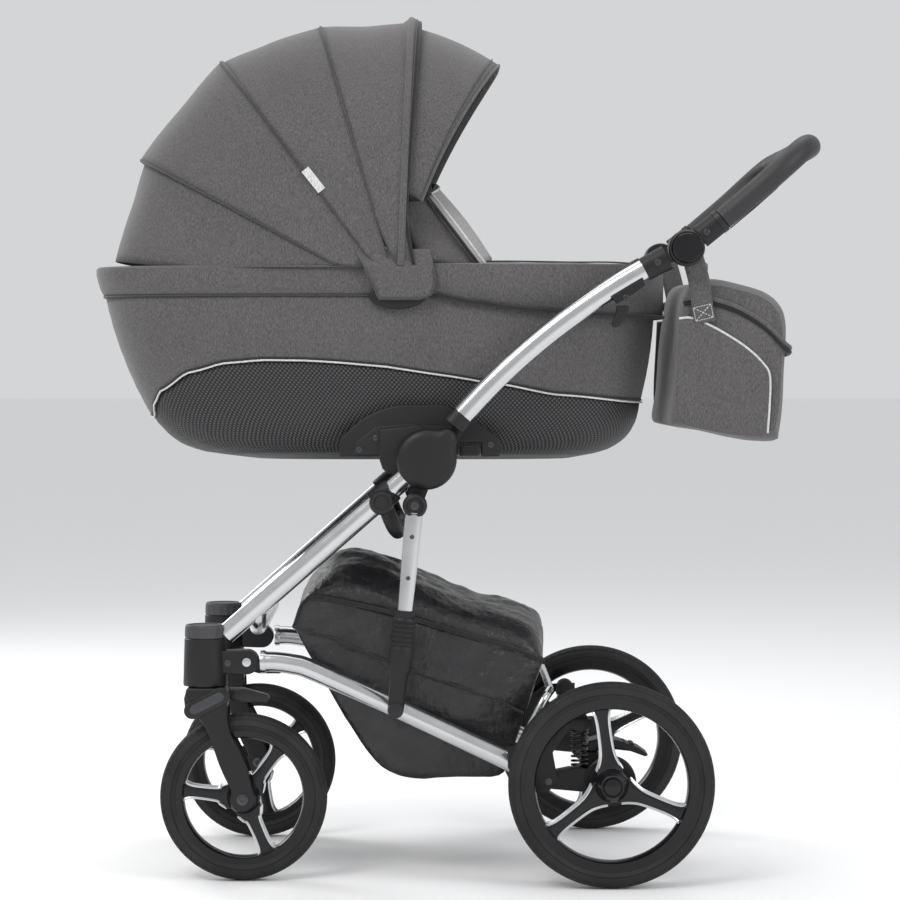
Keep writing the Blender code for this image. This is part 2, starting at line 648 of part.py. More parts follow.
def apron():
    """Padded cover that lies on the rim over the foot end."""
    low, high, half = -0.045, 0.300, 0.190
    rings = []
    for z, grow, crown in ((0.8866, 0.0030, 0.0), (0.8930, 0.0035, 0.0), (0.8990, -0.0120, 0.003),
                           (0.9020, -0.0600, 0.008)):
        pts = superellipse(low - 0.02, high + grow, half + grow, 24, 4.0)
        rings.append([(max(x, low), y, z + crown * (1 - (y / half) ** 2)) for x, y in pts])
    node("apron", loft(rings), "grey_fabric")


def windscreen_flap():
    """Padded flap that stands up from the apron's front edge."""
    foot, tip = Vector((0.030, 0.9175)), Vector((-0.0320, 1.0050))
    way = (tip - foot).normalized()
    out = Vector((way.y, -way.x))
    rings = []
    for d, half in ((0.0, 0.168), (0.045, 0.166), (0.090, 0.150), (0.107, 0.125)):
        c = foot + way * d
        ring = []
        for y, side in ((-half, 0), (-half, 1), (0.0, 1), (half, 1), (half, 0), (0.0, 0)):
            p = c + out * (0.006 * side)
            ring.append((p.x, y, p.y))
        rings.append(ring)
    node("windscreen_flap", loft(rings), "grey_fabric", on((0.030, 0.9165)))


def cot_brackets():
    """Arched brackets screwed to the sides of the carrycot, and their release latches."""
    outline = [(-0.171, 0.6350), (-0.134, 0.668), (-0.091, 0.6860), (-0.055, 0.6870), (-0.018, 0.6860),
               (0.061, 0.6400), (0.061, 0.6130), (0.0340, 0.6130), (0.0340, 0.6330), (0.0000, 0.6330),
               (0.0000, 0.6130), (-0.171, 0.6130)]
    latch = [(0.0030, 0.6140), (0.0310, 0.6140), (0.0310, 0.6300), (0.0030, 0.6300)]
    for name, s in SIDES.items():
        node(f"cot_bracket_{name}", plate(outline, s * 0.1830, s * 0.2010), "black_plastic")
        node(f"cot_latch_{name}", plate(latch, s * 0.1860, s * 0.2030), "black_plastic",
             (0.017, s * 0.1945, 0.622))


# Hood ---------------------------------------------------------------------------------
def arch(radius, half, skin=0.0, count=11, power=4.0):
    """Half-width and distance from the pivot along one bow, from one side to the other."""
    pts = []
    for i in range(count):
        t = math.pi * (0.04 + 0.92 * i / (count - 1))
        c, s = math.cos(t), math.sin(t)
        pts.append(((half - skin) * math.copysign(abs(c) ** (2 / power), c),
                    (radius - skin) * abs(s) ** (2 / power)))
    return pts


def hood_shell(name, first, last, radius, half, steps, reach=1.0):
    """A thin curved panel between two angles round the hood's pivot."""
    hx, hz = HOOD_PIVOT
    rings = []
    for i in range(steps + 1):
        t = math.radians(first + (last - first) * i / steps)
        shrink = reach + (1 - reach) * (1 - i / steps)
        row = []
        for skin in (0.0, HOOD_SKIN):
            pts = [(y, max(r * shrink, 0.055)) for y, r in arch(radius, half, skin)]
            if skin:
                pts.reverse()
            row += [(hx - r * math.cos(t), y, hz + r * math.sin(t)) for y, r in pts]
        rings.append(row)
    node(name, loft(rings), "grey_fabric", on(HOOD_PIVOT))


def hood():
    half, radius = 0.194, HOOD_LENGTH - 3 * HOOD_STEP
    names = ["hood_rear", "hood_panel_1", "hood_panel_2", "hood_panel_3"]
    for i, name in enumerate(names):
        overlap = 2.0 if i < 3 else 0.0
        hood_shell(name, HOOD_SEAMS[i], HOOD_SEAMS[i + 1] + overlap, radius + i * HOOD_STEP,
                   half + i * HOOD_STEP, 4)
    hood_shell("visor", *VISOR_ANGLES, HOOD_LENGTH - 3 * HOOD_STEP - 0.008, half - 0.006, 4, 0.94)


# Bag ----------------------------------------------------------------------------------
def bag():
    """Changing bag behind the carrycot's foot end."""
    outline = [(0.3120, 0.6640), (0.3210, 0.7100), (0.3240, 0.8000), (0.3330, 0.8560), (0.3700, 0.8700),
               (0.4200, 0.8620), (0.4620, 0.8380), (0.4780, 0.8000), (0.4720, 0.7400), (0.4640, 0.6420),
               (0.4400, 0.6330), (0.3600, 0.6450)]
    rings = []
    middle = Vector((0.395, 0.755))
    for y, size in ((-0.200, 0.90), (-0.190, 0.98), (-0.12, 1.0), (0.12, 1.0), (0.190, 0.98), (0.200, 0.90)):
        ring = []
        for x, z in outline:
            p = middle + (Vector((x, z)) - middle) * size
            ring.append((p.x, y, p.y))
        rings.append(ring)
    node("bag", loft(rings), "grey_fabric")


def build():
    for old in list(bpy.data.objects):
        bpy.data.objects.remove(old)
    rails()
    rear_brackets()
    springs()
    basket_hoop()
    basket()
    basket_cover()
    rear_axle()
    brake_pedal()
    wheels()
    legs()
    caster_housings()
    front_cross_tube()
    cross_brace()
    fold_covers()
    cradles()
    handle_tubes()
    angle_joints()
    fold_triggers()
    handlebar()
    angle_buttons()
    struts()
    forks()
    cot_body()
    mattress()
    apron()
    windscreen_flap()
    cot_brackets()
    hood()
    bag()


build()
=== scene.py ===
"""The pram's looks: fabric, mesh, chrome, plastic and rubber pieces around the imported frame."""
import json
import math

import bmesh
import bpy
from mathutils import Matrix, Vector, noise


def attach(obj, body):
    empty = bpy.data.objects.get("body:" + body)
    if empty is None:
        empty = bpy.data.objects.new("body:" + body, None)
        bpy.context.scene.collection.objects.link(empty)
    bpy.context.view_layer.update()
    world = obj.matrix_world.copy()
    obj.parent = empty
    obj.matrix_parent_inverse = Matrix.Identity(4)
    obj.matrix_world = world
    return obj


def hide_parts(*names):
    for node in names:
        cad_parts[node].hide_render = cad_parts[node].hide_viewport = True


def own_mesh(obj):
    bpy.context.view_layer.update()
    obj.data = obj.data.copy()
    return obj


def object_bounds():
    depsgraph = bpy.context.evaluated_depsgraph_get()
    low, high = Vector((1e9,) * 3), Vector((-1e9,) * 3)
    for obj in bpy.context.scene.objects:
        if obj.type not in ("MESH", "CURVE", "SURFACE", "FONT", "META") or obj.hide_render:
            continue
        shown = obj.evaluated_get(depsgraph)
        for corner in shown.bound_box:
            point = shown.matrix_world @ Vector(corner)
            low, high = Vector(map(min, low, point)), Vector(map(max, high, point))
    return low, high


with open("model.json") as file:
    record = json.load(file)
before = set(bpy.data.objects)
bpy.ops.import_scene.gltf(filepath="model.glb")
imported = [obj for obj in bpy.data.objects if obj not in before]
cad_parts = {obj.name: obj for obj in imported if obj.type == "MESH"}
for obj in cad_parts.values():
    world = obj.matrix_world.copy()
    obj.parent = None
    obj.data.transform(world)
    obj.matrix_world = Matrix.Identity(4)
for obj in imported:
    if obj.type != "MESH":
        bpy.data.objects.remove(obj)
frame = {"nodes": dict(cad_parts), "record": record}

CAD_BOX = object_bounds()
SIDES = {"left": -1, "right": 1}


def pivot(joint):
    """A joint's place in X and Z."""
    for j in frame["record"]["behaviour"]["joints"]:
        if j["name"] == joint:
            return Vector((j["pos_m"][0], j["pos_m"][2]))
    raise KeyError(joint)


FOLD = pivot("frame_fold")
FRONT = pivot("leg_tilt")
FOOT = pivot("strut_swing")
ANGLE = pivot("handle_angle")
HOOD = pivot("hood_fold")
TUBE_Y = 0.232
STRUT_Y = 0.2625
RAIL_Y = 0.205
CASTER_X, CASTER_Y = -0.3645, 0.198
CRANK_PIN = Vector((-0.0615, 0.5450))
SPRING_X, SPRING_Y, SPRING_TOP = 0.1755, 0.2200, 0.2240


# Materials ----------------------------------------------------------------------------
def shader(name, colour, rough, metal=0.0, **sockets):
    made = bpy.data.materials.new(name)
    made.use_nodes = True
    bsdf = made.node_tree.nodes["Principled BSDF"]
    bsdf.inputs["Base Color"].default_value = (*colour, 1.0)
    bsdf.inputs["Roughness"].default_value = rough
    bsdf.inputs["Metallic"].default_value = metal
    for socket, value in sockets.items():
        bsdf.inputs[socket.replace("_", " ")].default_value = value
    return made, made.node_tree, bsdf


def add(tree, kind, **values):
    made = tree.nodes.new(kind)
    for key, value in values.items():
        if hasattr(made, key):
            setattr(made, key, value)
        else:
            made.inputs[key.replace("_", " ")].default_value = value
    return made


def mapped(tree, scale):
    """Object coordinates, stretched."""
    place = add(tree, "ShaderNodeTexCoord")
    mapping = add(tree, "ShaderNodeMapping")
    mapping.inputs["Scale"].default_value = scale
    tree.links.new(place.outputs["Object"], mapping.inputs["Vector"])
    return mapping.outputs["Vector"]


def ramp(tree, source, low, high, dark, light):
    """A colour between two others, from a value."""
    made = add(tree, "ShaderNodeValToRGB")
    made.color_ramp.elements[0].position = low
    made.color_ramp.elements[1].position = high
    made.color_ramp.elements[0].color = (*dark, 1.0)
    made.color_ramp.elements[1].color = (*light, 1.0)
    tree.links.new(source, made.inputs["Fac"])
    return made.outputs["Color"]


def bump(tree, bsdf, sources, distance=0.0006):
    """Bumps from several heights, each with its strength."""
    normal = None
    for source, strength in sources:
        made = add(tree, "ShaderNodeBump", Strength=strength, Distance=distance)
        tree.links.new(source, made.inputs["Height"])
        if normal is not None:
            tree.links.new(normal, made.inputs["Normal"])
        normal = made.outputs["Normal"]
    tree.links.new(normal, bsdf.inputs["Normal"])


def noise_of(tree, scale, stretch=(1, 1, 1), detail=3.0):
    made = add(tree, "ShaderNodeTexNoise", Scale=scale, Detail=detail)
    tree.links.new(mapped(tree, stretch), made.inputs["Vector"])
    return made.outputs["Fac"]


def wave_of(tree, scale, direction):
    made = add(tree, "ShaderNodeTexWave", bands_direction=direction, Scale=scale, Distortion=0.6)
    made.inputs["Detail"].default_value = 1.0
    tree.links.new(mapped(tree, (1, 1, 1)), made.inputs["Vector"])
    return made.outputs["Fac"]


def mixed(tree, a, b, factor, mode="MULTIPLY"):
    made = tree.nodes.new("ShaderNodeMix")
    made.data_type = "RGBA"
    made.blend_type = mode
    made.inputs[0].default_value = factor
    tree.links.new(a, made.inputs[6])
    tree.links.new(b, made.inputs[7])
    return made.outputs[2]


def woven(name, dark, light, thread=520.0, streak=(3.2, 3.2, 0.7)):
    """Melange canvas: threads of two greys both ways, slubs, and a soft sheen."""
    made, tree, bsdf = shader(name, light, 0.92, Sheen_Weight=0.25, Sheen_Roughness=0.5,
                              Specular_IOR_Level=0.25)
    slub = noise_of(tree, 300.0, streak, 4.0)
    fleck = noise_of(tree, 900.0, (1.0, 1.0, 0.6), 2.0)
    broad = noise_of(tree, 9.0, (1, 1, 1), 2.0)
    colour = ramp(tree, slub, 0.33, 0.68, dark, light)
    colour = mixed(tree, colour, ramp(tree, fleck, 0.30, 0.70, (0.72, 0.72, 0.73), (1.18, 1.17, 1.17)), 1.0)
    colour = mixed(tree, colour, ramp(tree, broad, 0.2, 0.8, (0.93, 0.93, 0.93), (1.05, 1.05, 1.05)), 1.0)
    tree.links.new(colour, bsdf.inputs["Base Color"])
    bump(tree, bsdf, [(wave_of(tree, thread, "X"), 0.25), (wave_of(tree, thread, "Z"), 0.25),
                      (wave_of(tree, thread, "Y"), 0.2), (slub, 0.3)], 0.0004)
    return made


def nylon(name):
    """Coated nylon: dark, crinkled, with a soft gloss; its colour is painted darker in the crinkles'
    hollows and lighter on their ridges, as painted shade and highlight.
    """
    made, tree, bsdf = shader(name, (0.012, 0.012, 0.013), 0.36, Specular_IOR_Level=0.5, Coat_Weight=0.08)
    crinkle_and_shade = noise_of(tree, 26.0, (1.0, 1.0, 1.8), 5.0)
    fine = noise_of(tree, 75.0, (1.4, 1.0, 0.8), 4.0)
    weave = wave_of(tree, 500.0, "DIAGONAL")
    # Painted shade and highlight: the base colour follows the crinkle relief, darker in its hollows and
    # lighter on its ridges.
    tree.links.new(ramp(tree, crinkle_and_shade, 0.3, 0.75, (0.007, 0.007, 0.008), (0.019, 0.019, 0.021)),
                   bsdf.inputs["Base Color"])
    tree.links.new(ramp(tree, fine, 0.3, 0.7, (0.30, 0.30, 0.30), (0.46, 0.46, 0.46)),
                   bsdf.inputs["Roughness"])
    bump(tree, bsdf, [(crinkle_and_shade, 0.85), (fine, 0.45), (weave, 0.08)], 0.006)
    return made


def knit(name):
    """Spacer mesh: a black honeycomb knit over a grey backing."""
    made, tree, bsdf = shader(name, (0.02, 0.02, 0.022), 0.55, Specular_IOR_Level=0.35)
    cells = add(tree, "ShaderNodeTexVoronoi", feature="F1", Scale=1.0, Randomness=0.0)
    place = add(tree, "ShaderNodeTexCoord")
    split = add(tree, "ShaderNodeSeparateXYZ")
    tree.links.new(place.outputs["UV"], split.inputs[0])

    def scaled(source, factor, extra=None, amount=0.0):
        times = add(tree, "ShaderNodeMath", operation="MULTIPLY")
        times.inputs[1].default_value = factor
        tree.links.new(source, times.inputs[0])
        if extra is None:
            return times.outputs[0]
        plus = add(tree, "ShaderNodeMath", operation="MULTIPLY_ADD")
        plus.inputs[1].default_value = amount
        tree.links.new(extra, plus.inputs[0])
        tree.links.new(times.outputs[0], plus.inputs[2])
        return plus.outputs[0]

    across = scaled(split.outputs["X"], 150.0, split.outputs["Y"], 150.0)
    along = scaled(split.outputs["Y"], 150.0, split.outputs["X"], -150.0)
    joined = add(tree, "ShaderNodeCombineXYZ")
    tree.links.new(across, joined.inputs[0])
    tree.links.new(along, joined.inputs[1])
    tree.links.new(joined.outputs[0], cells.inputs["Vector"])
    colour = ramp(tree, cells.outputs["Distance"], 0.20, 0.44, (0.075, 0.075, 0.078), (0.008, 0.008, 0.009))
    tree.links.new(colour, bsdf.inputs["Base Color"])
    bump(tree, bsdf, [(cells.outputs["Distance"], 0.9)], 0.0012)
    return made


def moulded(name, colour, rough, grain=700.0, strength=0.12):
    """Injection-moulded plastic with a fine spark-eroded grain and rubbed patches."""
    made, tree, bsdf = shader(name, colour, rough, Specular_IOR_Level=0.34)
    fine = noise_of(tree, grain, (1, 1, 1), 2.0)
    rubbed = noise_of(tree, 14.0, (1, 1, 1), 4.0)
    low, high = max(rough - 0.07, 0.02), rough + 0.06
    tree.links.new(ramp(tree, rubbed, 0.3, 0.7, (low,) * 3, (high,) * 3), bsdf.inputs["Roughness"])
    lifted = tuple(c * 1.35 for c in colour)
    tree.links.new(ramp(tree, rubbed, 0.35, 0.8, colour, lifted), bsdf.inputs["Base Color"])
    bump(tree, bsdf, [(fine, strength)], 0.0003)
    return made


def polished(name, colour, rough, stretch):
    """Polished metal with faint drawing lines."""
    made, tree, bsdf = shader(name, colour, rough, 1.0)
    lines = noise_of(tree, 60.0, stretch, 3.0)
    tree.links.new(ramp(tree, lines, 0.25, 0.75, (rough * 0.7,) * 3, (rough * 1.4,) * 3),
                   bsdf.inputs["Roughness"])
    tint = tuple(c * 0.93 for c in colour)
    tree.links.new(ramp(tree, lines, 0.3, 0.7, tint, colour), bsdf.inputs["Base Color"])
    bump(tree, bsdf, [(lines, 0.02)], 0.0003)
    return made


def leatherette(name):
    made, tree, bsdf = shader(name, (0.022, 0.022, 0.024), 0.5, Specular_IOR_Level=0.45)
    cells = add(tree, "ShaderNodeTexVoronoi", feature="DISTANCE_TO_EDGE", Scale=620.0)
    tree.links.new(mapped(tree, (1, 1, 1)), cells.inputs["Vector"])
    soft = noise_of(tree, 30.0)
    tree.links.new(ramp(tree, soft, 0.3, 0.7, (0.42,) * 3, (0.58,) * 3), bsdf.inputs["Roughness"])
    bump(tree, bsdf, [(cells.outputs["Distance"], 0.35), (soft, 0.1)], 0.0006)
    return made


def tyre_rubber(name):
    made, tree, bsdf = shader(name, (0.016, 0.016, 0.018), 0.72, Specular_IOR_Level=0.35)
    dust = noise_of(tree, 22.0, (1, 1, 1), 5.0)
    fine = noise_of(tree, 420.0, (1, 1, 1), 3.0)
    tree.links.new(ramp(tree, dust, 0.35, 0.75, (0.012, 0.012, 0.013), (0.024, 0.023, 0.023)),
                   bsdf.inputs["Base Color"])
    bump(tree, bsdf, [(fine, 0.3)], 0.0005)
    return made


MAT = {"grey": woven("grey_melange", (0.070, 0.067, 0.069), (0.145, 0.139, 0.141)),
       "grey_light": woven("light_melange", (0.25, 0.245, 0.245), (0.42, 0.41, 0.41)),
       # Lining colour near black: painted shade for the inside of the hood under the visor.
       "lining": woven("lining_painted_shade", (0.018, 0.018, 0.020), (0.040, 0.040, 0.043)),
       "inner": woven("pale_lining", (0.42, 0.42, 0.42), (0.62, 0.62, 0.61)),
       "binding": woven("black_binding", (0.012, 0.012, 0.013), (0.032, 0.032, 0.034), 700.0),
       "thread": woven("grey_thread", (0.045, 0.044, 0.045), (0.085, 0.083, 0.084), 900.0),
       "nylon": nylon("crinkled_nylon"), "mesh": knit("spacer_mesh"),
       "plastic": moulded("black_moulding", (0.009, 0.009, 0.010), 0.46),
       "satin": moulded("satin_moulding", (0.013, 0.013, 0.014), 0.38, 500.0, 0.08),
       "gloss": moulded("gloss_moulding", (0.006, 0.006, 0.007), 0.20, 200.0, 0.02),
       "cap": moulded("grey_cap", (0.050, 0.050, 0.054), 0.5), "badge": moulded("grey_badge",
        (0.045, 0.046, 0.052), 0.40, 400.0, 0.05), "chrome": polished("polished_aluminium",
        (0.60, 0.61, 0.62), 0.19, (0.4, 1, 0.4)), "steel": polished("screw_steel", (0.085, 0.085, 0.090),
        0.30, (1, 1, 1)), "piping": woven("reflective_piping", (0.52, 0.53, 0.53), (0.80, 0.81, 0.81),
                                          900.0), "rubber": tyre_rubber("tyre_rubber"),
       "grip": leatherette("grip_leatherette"),}


# Mesh tools ---------------------------------------------------------------------------
def piece(name, bm, mat, body, replaces=(), smooth=40.0):
    """A finished piece that rides on a body and stands for CAD nodes."""
    bmesh.ops.recalc_face_normals(bm, faces=bm.faces)
    mesh = bpy.data.meshes.new(name)
    bm.to_mesh(mesh)
    bm.free()
    mesh.shade_smooth()
    if smooth:
        mesh.set_sharp_from_angle(angle=math.radians(smooth))
    made = bpy.data.objects.new(name, mesh)
    made.data.materials.append(MAT[mat])
    bpy.context.scene.collection.objects.link(made)
    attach(made, body)
    if replaces:
        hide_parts(*replaces)
    return made


def grid(rows, wrap=False, bm=None, caps=False):
    """Faces through rows of points."""
    bm = bm or bmesh.new()
    lines = [[bm.verts.new(p) for p in row] for row in rows]
    for a, b in zip(lines, lines[1:]):
        for i in range(len(a) if wrap else len(a) - 1):
            j = (i + 1) % len(a)
            bm.faces.new((a[i], a[j], b[j], b[i]))
    if caps:
        bm.faces.new(lines[0])
        bm.faces.new(lines[-1])
    return bm


def rope(points, radius, sides=8, flat=1.0, bm=None, closed=False):
    """A tube along points; flat squeezes it along Y."""
    pts = [Vector(p) for p in points]
    rows = []
    up = None
    count = len(pts)
    for i, p in enumerate(pts):
        before = pts[(i - 1) % count] if closed or i else pts[0]
        after = pts[(i + 1) % count] if closed or i < count - 1 else pts[-1]
        along = (after - before).normalized()
        if up is None:
            across = Vector((0, 1, 0)) - along * along.y
            if across.length < 0.2:
                across = Vector((1, 0, 0)) - along * along.x
        else:
            across = up.cross(along)
        across.normalize()
        up = along.cross(across)
        size = radius(i / (count - 1)) if callable(radius) else radius
        turn = turns(sides)
        rows.append([p + across * size * flat * math.cos(t) + up * size * math.sin(t) for t in turn])
    if closed:
        rows.append(rows[0])
    return grid(rows, wrap=True, bm=bm, caps=not closed)


def spline(points, steps=6):
    pts = [Vector(p) for p in points]
    pts = [pts[0] * 2 - pts[1], *pts, pts[-1] * 2 - pts[-2]]
    out = []
    for a, b, c, d in zip(pts, pts[1:], pts[2:], pts[3:]):
        for i in range(steps):
            t = i / steps
            out.append(0.5 * (2 * b + (c - a) * t + (2 * a - 5 * b + 4 * c - d) * t * t
                              + (3 * b - a - 3 * c + d) * t ** 3))
    out.append(pts[-2])
    return out


def table(pairs, x):
    """Smooth reading between (x, value) pairs."""
    if x <= pairs[0][0]:
        return pairs[0][1]
    for (x0, v0), (x1, v1) in zip(pairs, pairs[1:]):
        if x <= x1:
            t = (x - x0) / (x1 - x0)
            t = t * t * (3 - 2 * t) * 0.5 + t * 0.5
            return v0 + (v1 - v0) * t
    return pairs[-1][1]


def lathe(centre, y, profile, sides=64, bm=None, closed=True):
    """Turned about Y: profile of radius and offset along Y."""
    rows = []
    for i in range(sides + 1):
        t = 2 * math.pi * (i % sides) / sides
        rows.append([(centre[0] + r * math.cos(t), y + v, centre[1] + r * math.sin(t)) for r, v in profile])
    made = grid(rows, wrap=closed, bm=bm)
    bmesh.ops.remove_doubles(made, verts=made.verts, dist=1e-6)
    return made


def turns(count):
    """Angles all round, evenly apart."""
    return [2 * math.pi * i / count for i in range(count)]


def upright(x, y, profile, sides, bm=None):
    """Turned about Z: profile of height and radius."""
    rows = [[(x + r * math.cos(t), y + r * math.sin(t), z) for t in turns(sides)] for z, r in profile]
    return grid(rows, wrap=True, bm=bm, caps=True)


def dome(centre, y, side, radius, height, rim=0.0015, sides=32, bm=None):
    """A low round cap on a face at y, standing out towards side."""
    prof = [(0.0002, 0.0), (radius, 0.0), (radius, height - rim), (radius - rim * 0.3, height - rim * 0.3),
            (radius - rim, height), (0.0002, height * 1.02)]
    return lathe(centre, y, [(r, side * v) for r, v in prof], sides, bm)


def slab(outline, y0, y1, bm=None):
    """A plate from an outline in X and Z."""
    bm = bm or bmesh.new()
    a = [bm.verts.new((x, y0, z)) for x, z in outline]
    b = [bm.verts.new((x, y1, z)) for x, z in outline]
    bm.faces.new(a)
    bm.faces.new(list(reversed(b)))
    for i in range(len(a)):
        j = (i + 1) % len(a)
        bm.faces.new((a[j], a[i], b[i], b[j]))
    return bm


def arc(centre, radius, start, end, count):
    """Points on an arc, by angles in degrees."""
    span = [math.radians(start + (end - start) * i / (count - 1)) for i in range(count)]
    return [(centre[0] + radius * math.cos(t), centre[1] + radius * math.sin(t)) for t in span]


def bevelled(obj, width=0.0012, segments=3, angle=35.0):
    """Round the edges of a hard piece for good."""
    step = obj.modifiers.new("edges", "BEVEL")
    step.width = width
    step.segments = segments
    step.limit_method = "ANGLE"
    step.angle_limit = math.radians(angle)
    step.harden_normals = False
    applied(obj)
    obj.data.shade_smooth()
    obj.data.set_sharp_from_angle(angle=math.radians(45))
    return obj


def applied(obj):
    graph = bpy.context.evaluated_depsgraph_get()
    mesh = bpy.data.meshes.new_from_object(obj.evaluated_get(graph))
    obj.modifiers.clear()
    obj.data = mesh
    return obj


def thick(obj, depth, offset=-1.0):
    step = obj.modifiers.new("skin", "SOLIDIFY")
    step.thickness = depth
    step.offset = offset
    return applied(obj)


def refined(node, body, mat, width=0.0014, name=None):
    """A CAD piece's own shape with rounded edges, in place of the plain one."""
    bm = bmesh.new()
    bm.from_mesh(frame["nodes"][node].data)
    bmesh.ops.remove_doubles(bm, verts=bm.verts, dist=1e-5)
    flat = [e for e in bm.edges if len(e.link_faces) == 2 and e.calc_face_angle(0.0) < math.radians(2)]
    bmesh.ops.dissolve_edges(bm, edges=flat, use_verts=True, use_face_split=False)
    made = piece(name or f"{node}_shell", bm, mat, body, (node,))
    return bevelled(made, width)


# Camera, light and floor --------------------------------------------------------------
FLOOR = 60.0    # half the floor's side, so far out that its edge is lost


def stage():
    scene = bpy.context.scene
    camera = bpy.data.cameras.new("camera")
    camera.lens = 116.8
    camera.sensor_width = 36.0
    eye = bpy.data.objects.new("camera", camera)
    eye.location = (-0.0485, -4.41, 0.745)
    aim = Vector((math.tan(math.radians(0.51)), 1.0, -math.tan(math.radians(1.667))))
    eye.rotation_euler = aim.to_track_quat("-Z", "Y").to_euler()
    scene.collection.objects.link(eye)
    scene.camera = eye
    for name, place, size, power, tint in (
            ("key", (-1.6, -2.6, 3.2), 1.6, 58.0, (1.0, 0.99, 0.98)),
            ("fill", (2.6, -2.2, 1.9), 1.4, 30.0, (0.98, 0.99, 1.0)),
            ("top", (0.0, 0.6, 3.6), 3.0, 46.0, (1.0, 1.0, 1.0)),
            ("rim", (-2.4, 2.2, 2.0), 1.6, 38.0, (1.0, 1.0, 1.0))):
        data = bpy.data.lights.new(name, "AREA")
        data.size = size
        data.energy = power
        data.color = tint
        lamp = bpy.data.objects.new(name, data)
        lamp.location = place
        lamp.rotation_euler = (Vector((0, 0, 0.55)) - Vector(place)).to_track_quat("-Z", "Y").to_euler()
        scene.collection.objects.link(lamp)
    world = bpy.data.worlds.new("studio")
    world.use_nodes = True
    world.node_tree.nodes["Background"].inputs["Color"].default_value = (0.94, 0.95, 0.96, 1.0)
    world.node_tree.nodes["Background"].inputs["Strength"].default_value = 0.70
    scene.world = world
    scene.view_settings.view_transform = "Standard"
    low = CAD_BOX[0][2] - 0.0004
    bm = grid([[(x, y, low) for y in (-FLOOR, 0.0, FLOOR)] for x in (-FLOOR, 0.0, FLOOR)])
    mesh = bpy.data.meshes.new("floor")
    bm.to_mesh(mesh)
    bm.free()
    floor = bpy.data.objects.new("floor", mesh)
    paint, _, _ = shader("floor_paint", (0.93, 0.93, 0.935), 0.8)
    floor.data.materials.append(paint)
    scene.collection.objects.link(floor)


# Wheels -------------------------------------------------------------------------------
def tyre(name, body, centre, y, outer, half, node):
    """Round-shouldered tyre with two circumferential grooves a side and a ribbed tread."""
    seat = outer - 0.0275
    prof = []
    for side in (1, -1):
        flank = [(outer, 0.0), (outer - 0.0004, 0.0055), (outer - 0.0022, 0.0062), (outer - 0.0006, 0.0070),
                 (outer - 0.0028, 0.0115), (outer - 0.0050, 0.0146), (outer - 0.0068, 0.0148),
                 (outer - 0.0072, 0.0166), (outer - 0.0120, 0.0192), (outer - 0.0160, 0.0198),
                 (outer - 0.0168, 0.0186), (outer - 0.0180, 0.0194), (outer - 0.0230, 0.0172),
                 (seat, 0.0128)]
        flank = [(r, v * half / 0.0205) for r, v in flank]
        prof += flank if side > 0 else [(r, -v) for r, v in reversed(flank[1:])]
    bm = lathe(centre, y, prof, 96)
    piece(f"{name}_tyre_skin", bm, "rubber", body, (node,), smooth=50.0)
    cuts = bmesh.new()
    count = 72
    for i in range(count):
        t = 2 * math.pi * i / count
        for side in (-1, 1):
            mid = Vector((centre[0] + (outer - 0.0022) * math.cos(t), y + side * 0.0104,
                          centre[1] + (outer - 0.0022) * math.sin(t)))
            along = Vector((-math.sin(t), side * 0.55, math.cos(t))).normalized()
            out = Vector((math.cos(t), side * 0.34, math.sin(t))).normalized()
            wide = along.cross(out)
            corners = []
            for a, b, c in ((-1, -1, 0), (1, -1, 0), (1, 1, 0), (-1, 1, 0), (-1, -1, 1), (1, -1, 1),
                            (1, 1, 1), (-1, 1, 1)):
                shrink = 1.0 if c == 0 else 0.7
                corners.append(cuts.verts.new(mid + along * 0.0015 * a * shrink + wide * 0.0026 * b * shrink
                                              + out * (0.0014 * c - 0.0008)))
            for f in ((0, 1, 2, 3), (4, 7, 6, 5), (0, 4, 5, 1), (1, 5, 6, 2), (2, 6, 7, 3), (3, 7, 4, 0)):
                cuts.faces.new([corners[k] for k in f])
    piece(f"{name}_tread_blocks", cuts, "rubber", body, smooth=20.0)


def spoke_outline(centre, angle, reach, root, waist, tip):
    """One spoke's outline from its root at the hub to where it flares into the rim."""
    d = Vector((math.cos(angle), math.sin(angle)))
    n = Vector((-d.y, d.x))
    stations = [(0.012, root), (0.022, root * 0.97), (0.032, root * 0.72), (reach * 0.42, waist * 1.15),
                (reach * 0.62, waist), (reach * 0.85, tip), (reach * 0.97, tip * 1.35),
                (reach * 1.015, tip * 1.9)]
    left = [centre + d * a + n * b for a, b in stations]
    right = [centre + d * a - n * b for a, b in reversed(stations)]
    return left, right


def rim(name, body, centre, y, inner, first, node, hub_side):
    """Gloss rim with three spokes edged in bright metal, and a hub."""
    c = Vector(centre)
    out = inner + 0.0155
    prof = [(out, -0.0125), (out + 0.004, -0.0150), (out + 0.004, -0.0165), (inner + 0.002, -0.0150),
            (inner, -0.0120), (inner - 0.0012, 0.0), (inner, 0.0120), (inner + 0.002, 0.0150),
            (out + 0.004, 0.0165), (out + 0.004, 0.0150), (out, 0.0125)]
    bm = lathe(centre, y, prof, 96)
    lathe(centre, y, [(0.0210, -0.0120), (0.0240, -0.0080), (0.0240, 0.0080), (0.0210, 0.0120),
                      (0.0165, 0.0185), (0.0150, 0.0222), (0.0002, 0.0222), (0.0002, -0.0222),
                      (0.0150, -0.0222), (0.0165, -0.0185)], 48, bm)
    shape = piece(f"{name}_rim_shell", bm, "gloss", body, (node,), smooth=45.0)
    spokes = bmesh.new()
    trims = bmesh.new()
    for k in range(3):
        angle = math.radians(first + 120 * k)
        left, right = spoke_outline(c, angle, inner, 0.0190, 0.0085, 0.0088)
        slab([tuple(p) for p in left + right], y - 0.0080, y + 0.0080, spokes)
        for run in (left, list(reversed(right))):
            for face in (-1, 1):
                path = [(q.x, y + face * 0.0083, q.y) for q in smooth2(run[1:], 5)]
                rope(path, 0.0020, 6, 0.75, trims)
    hard = piece(f"{name}_spokes", spokes, "gloss", body)
    bevelled(hard, 0.0016, 3)
    piece(f"{name}_spoke_trims", trims, "chrome", body)
    return shape


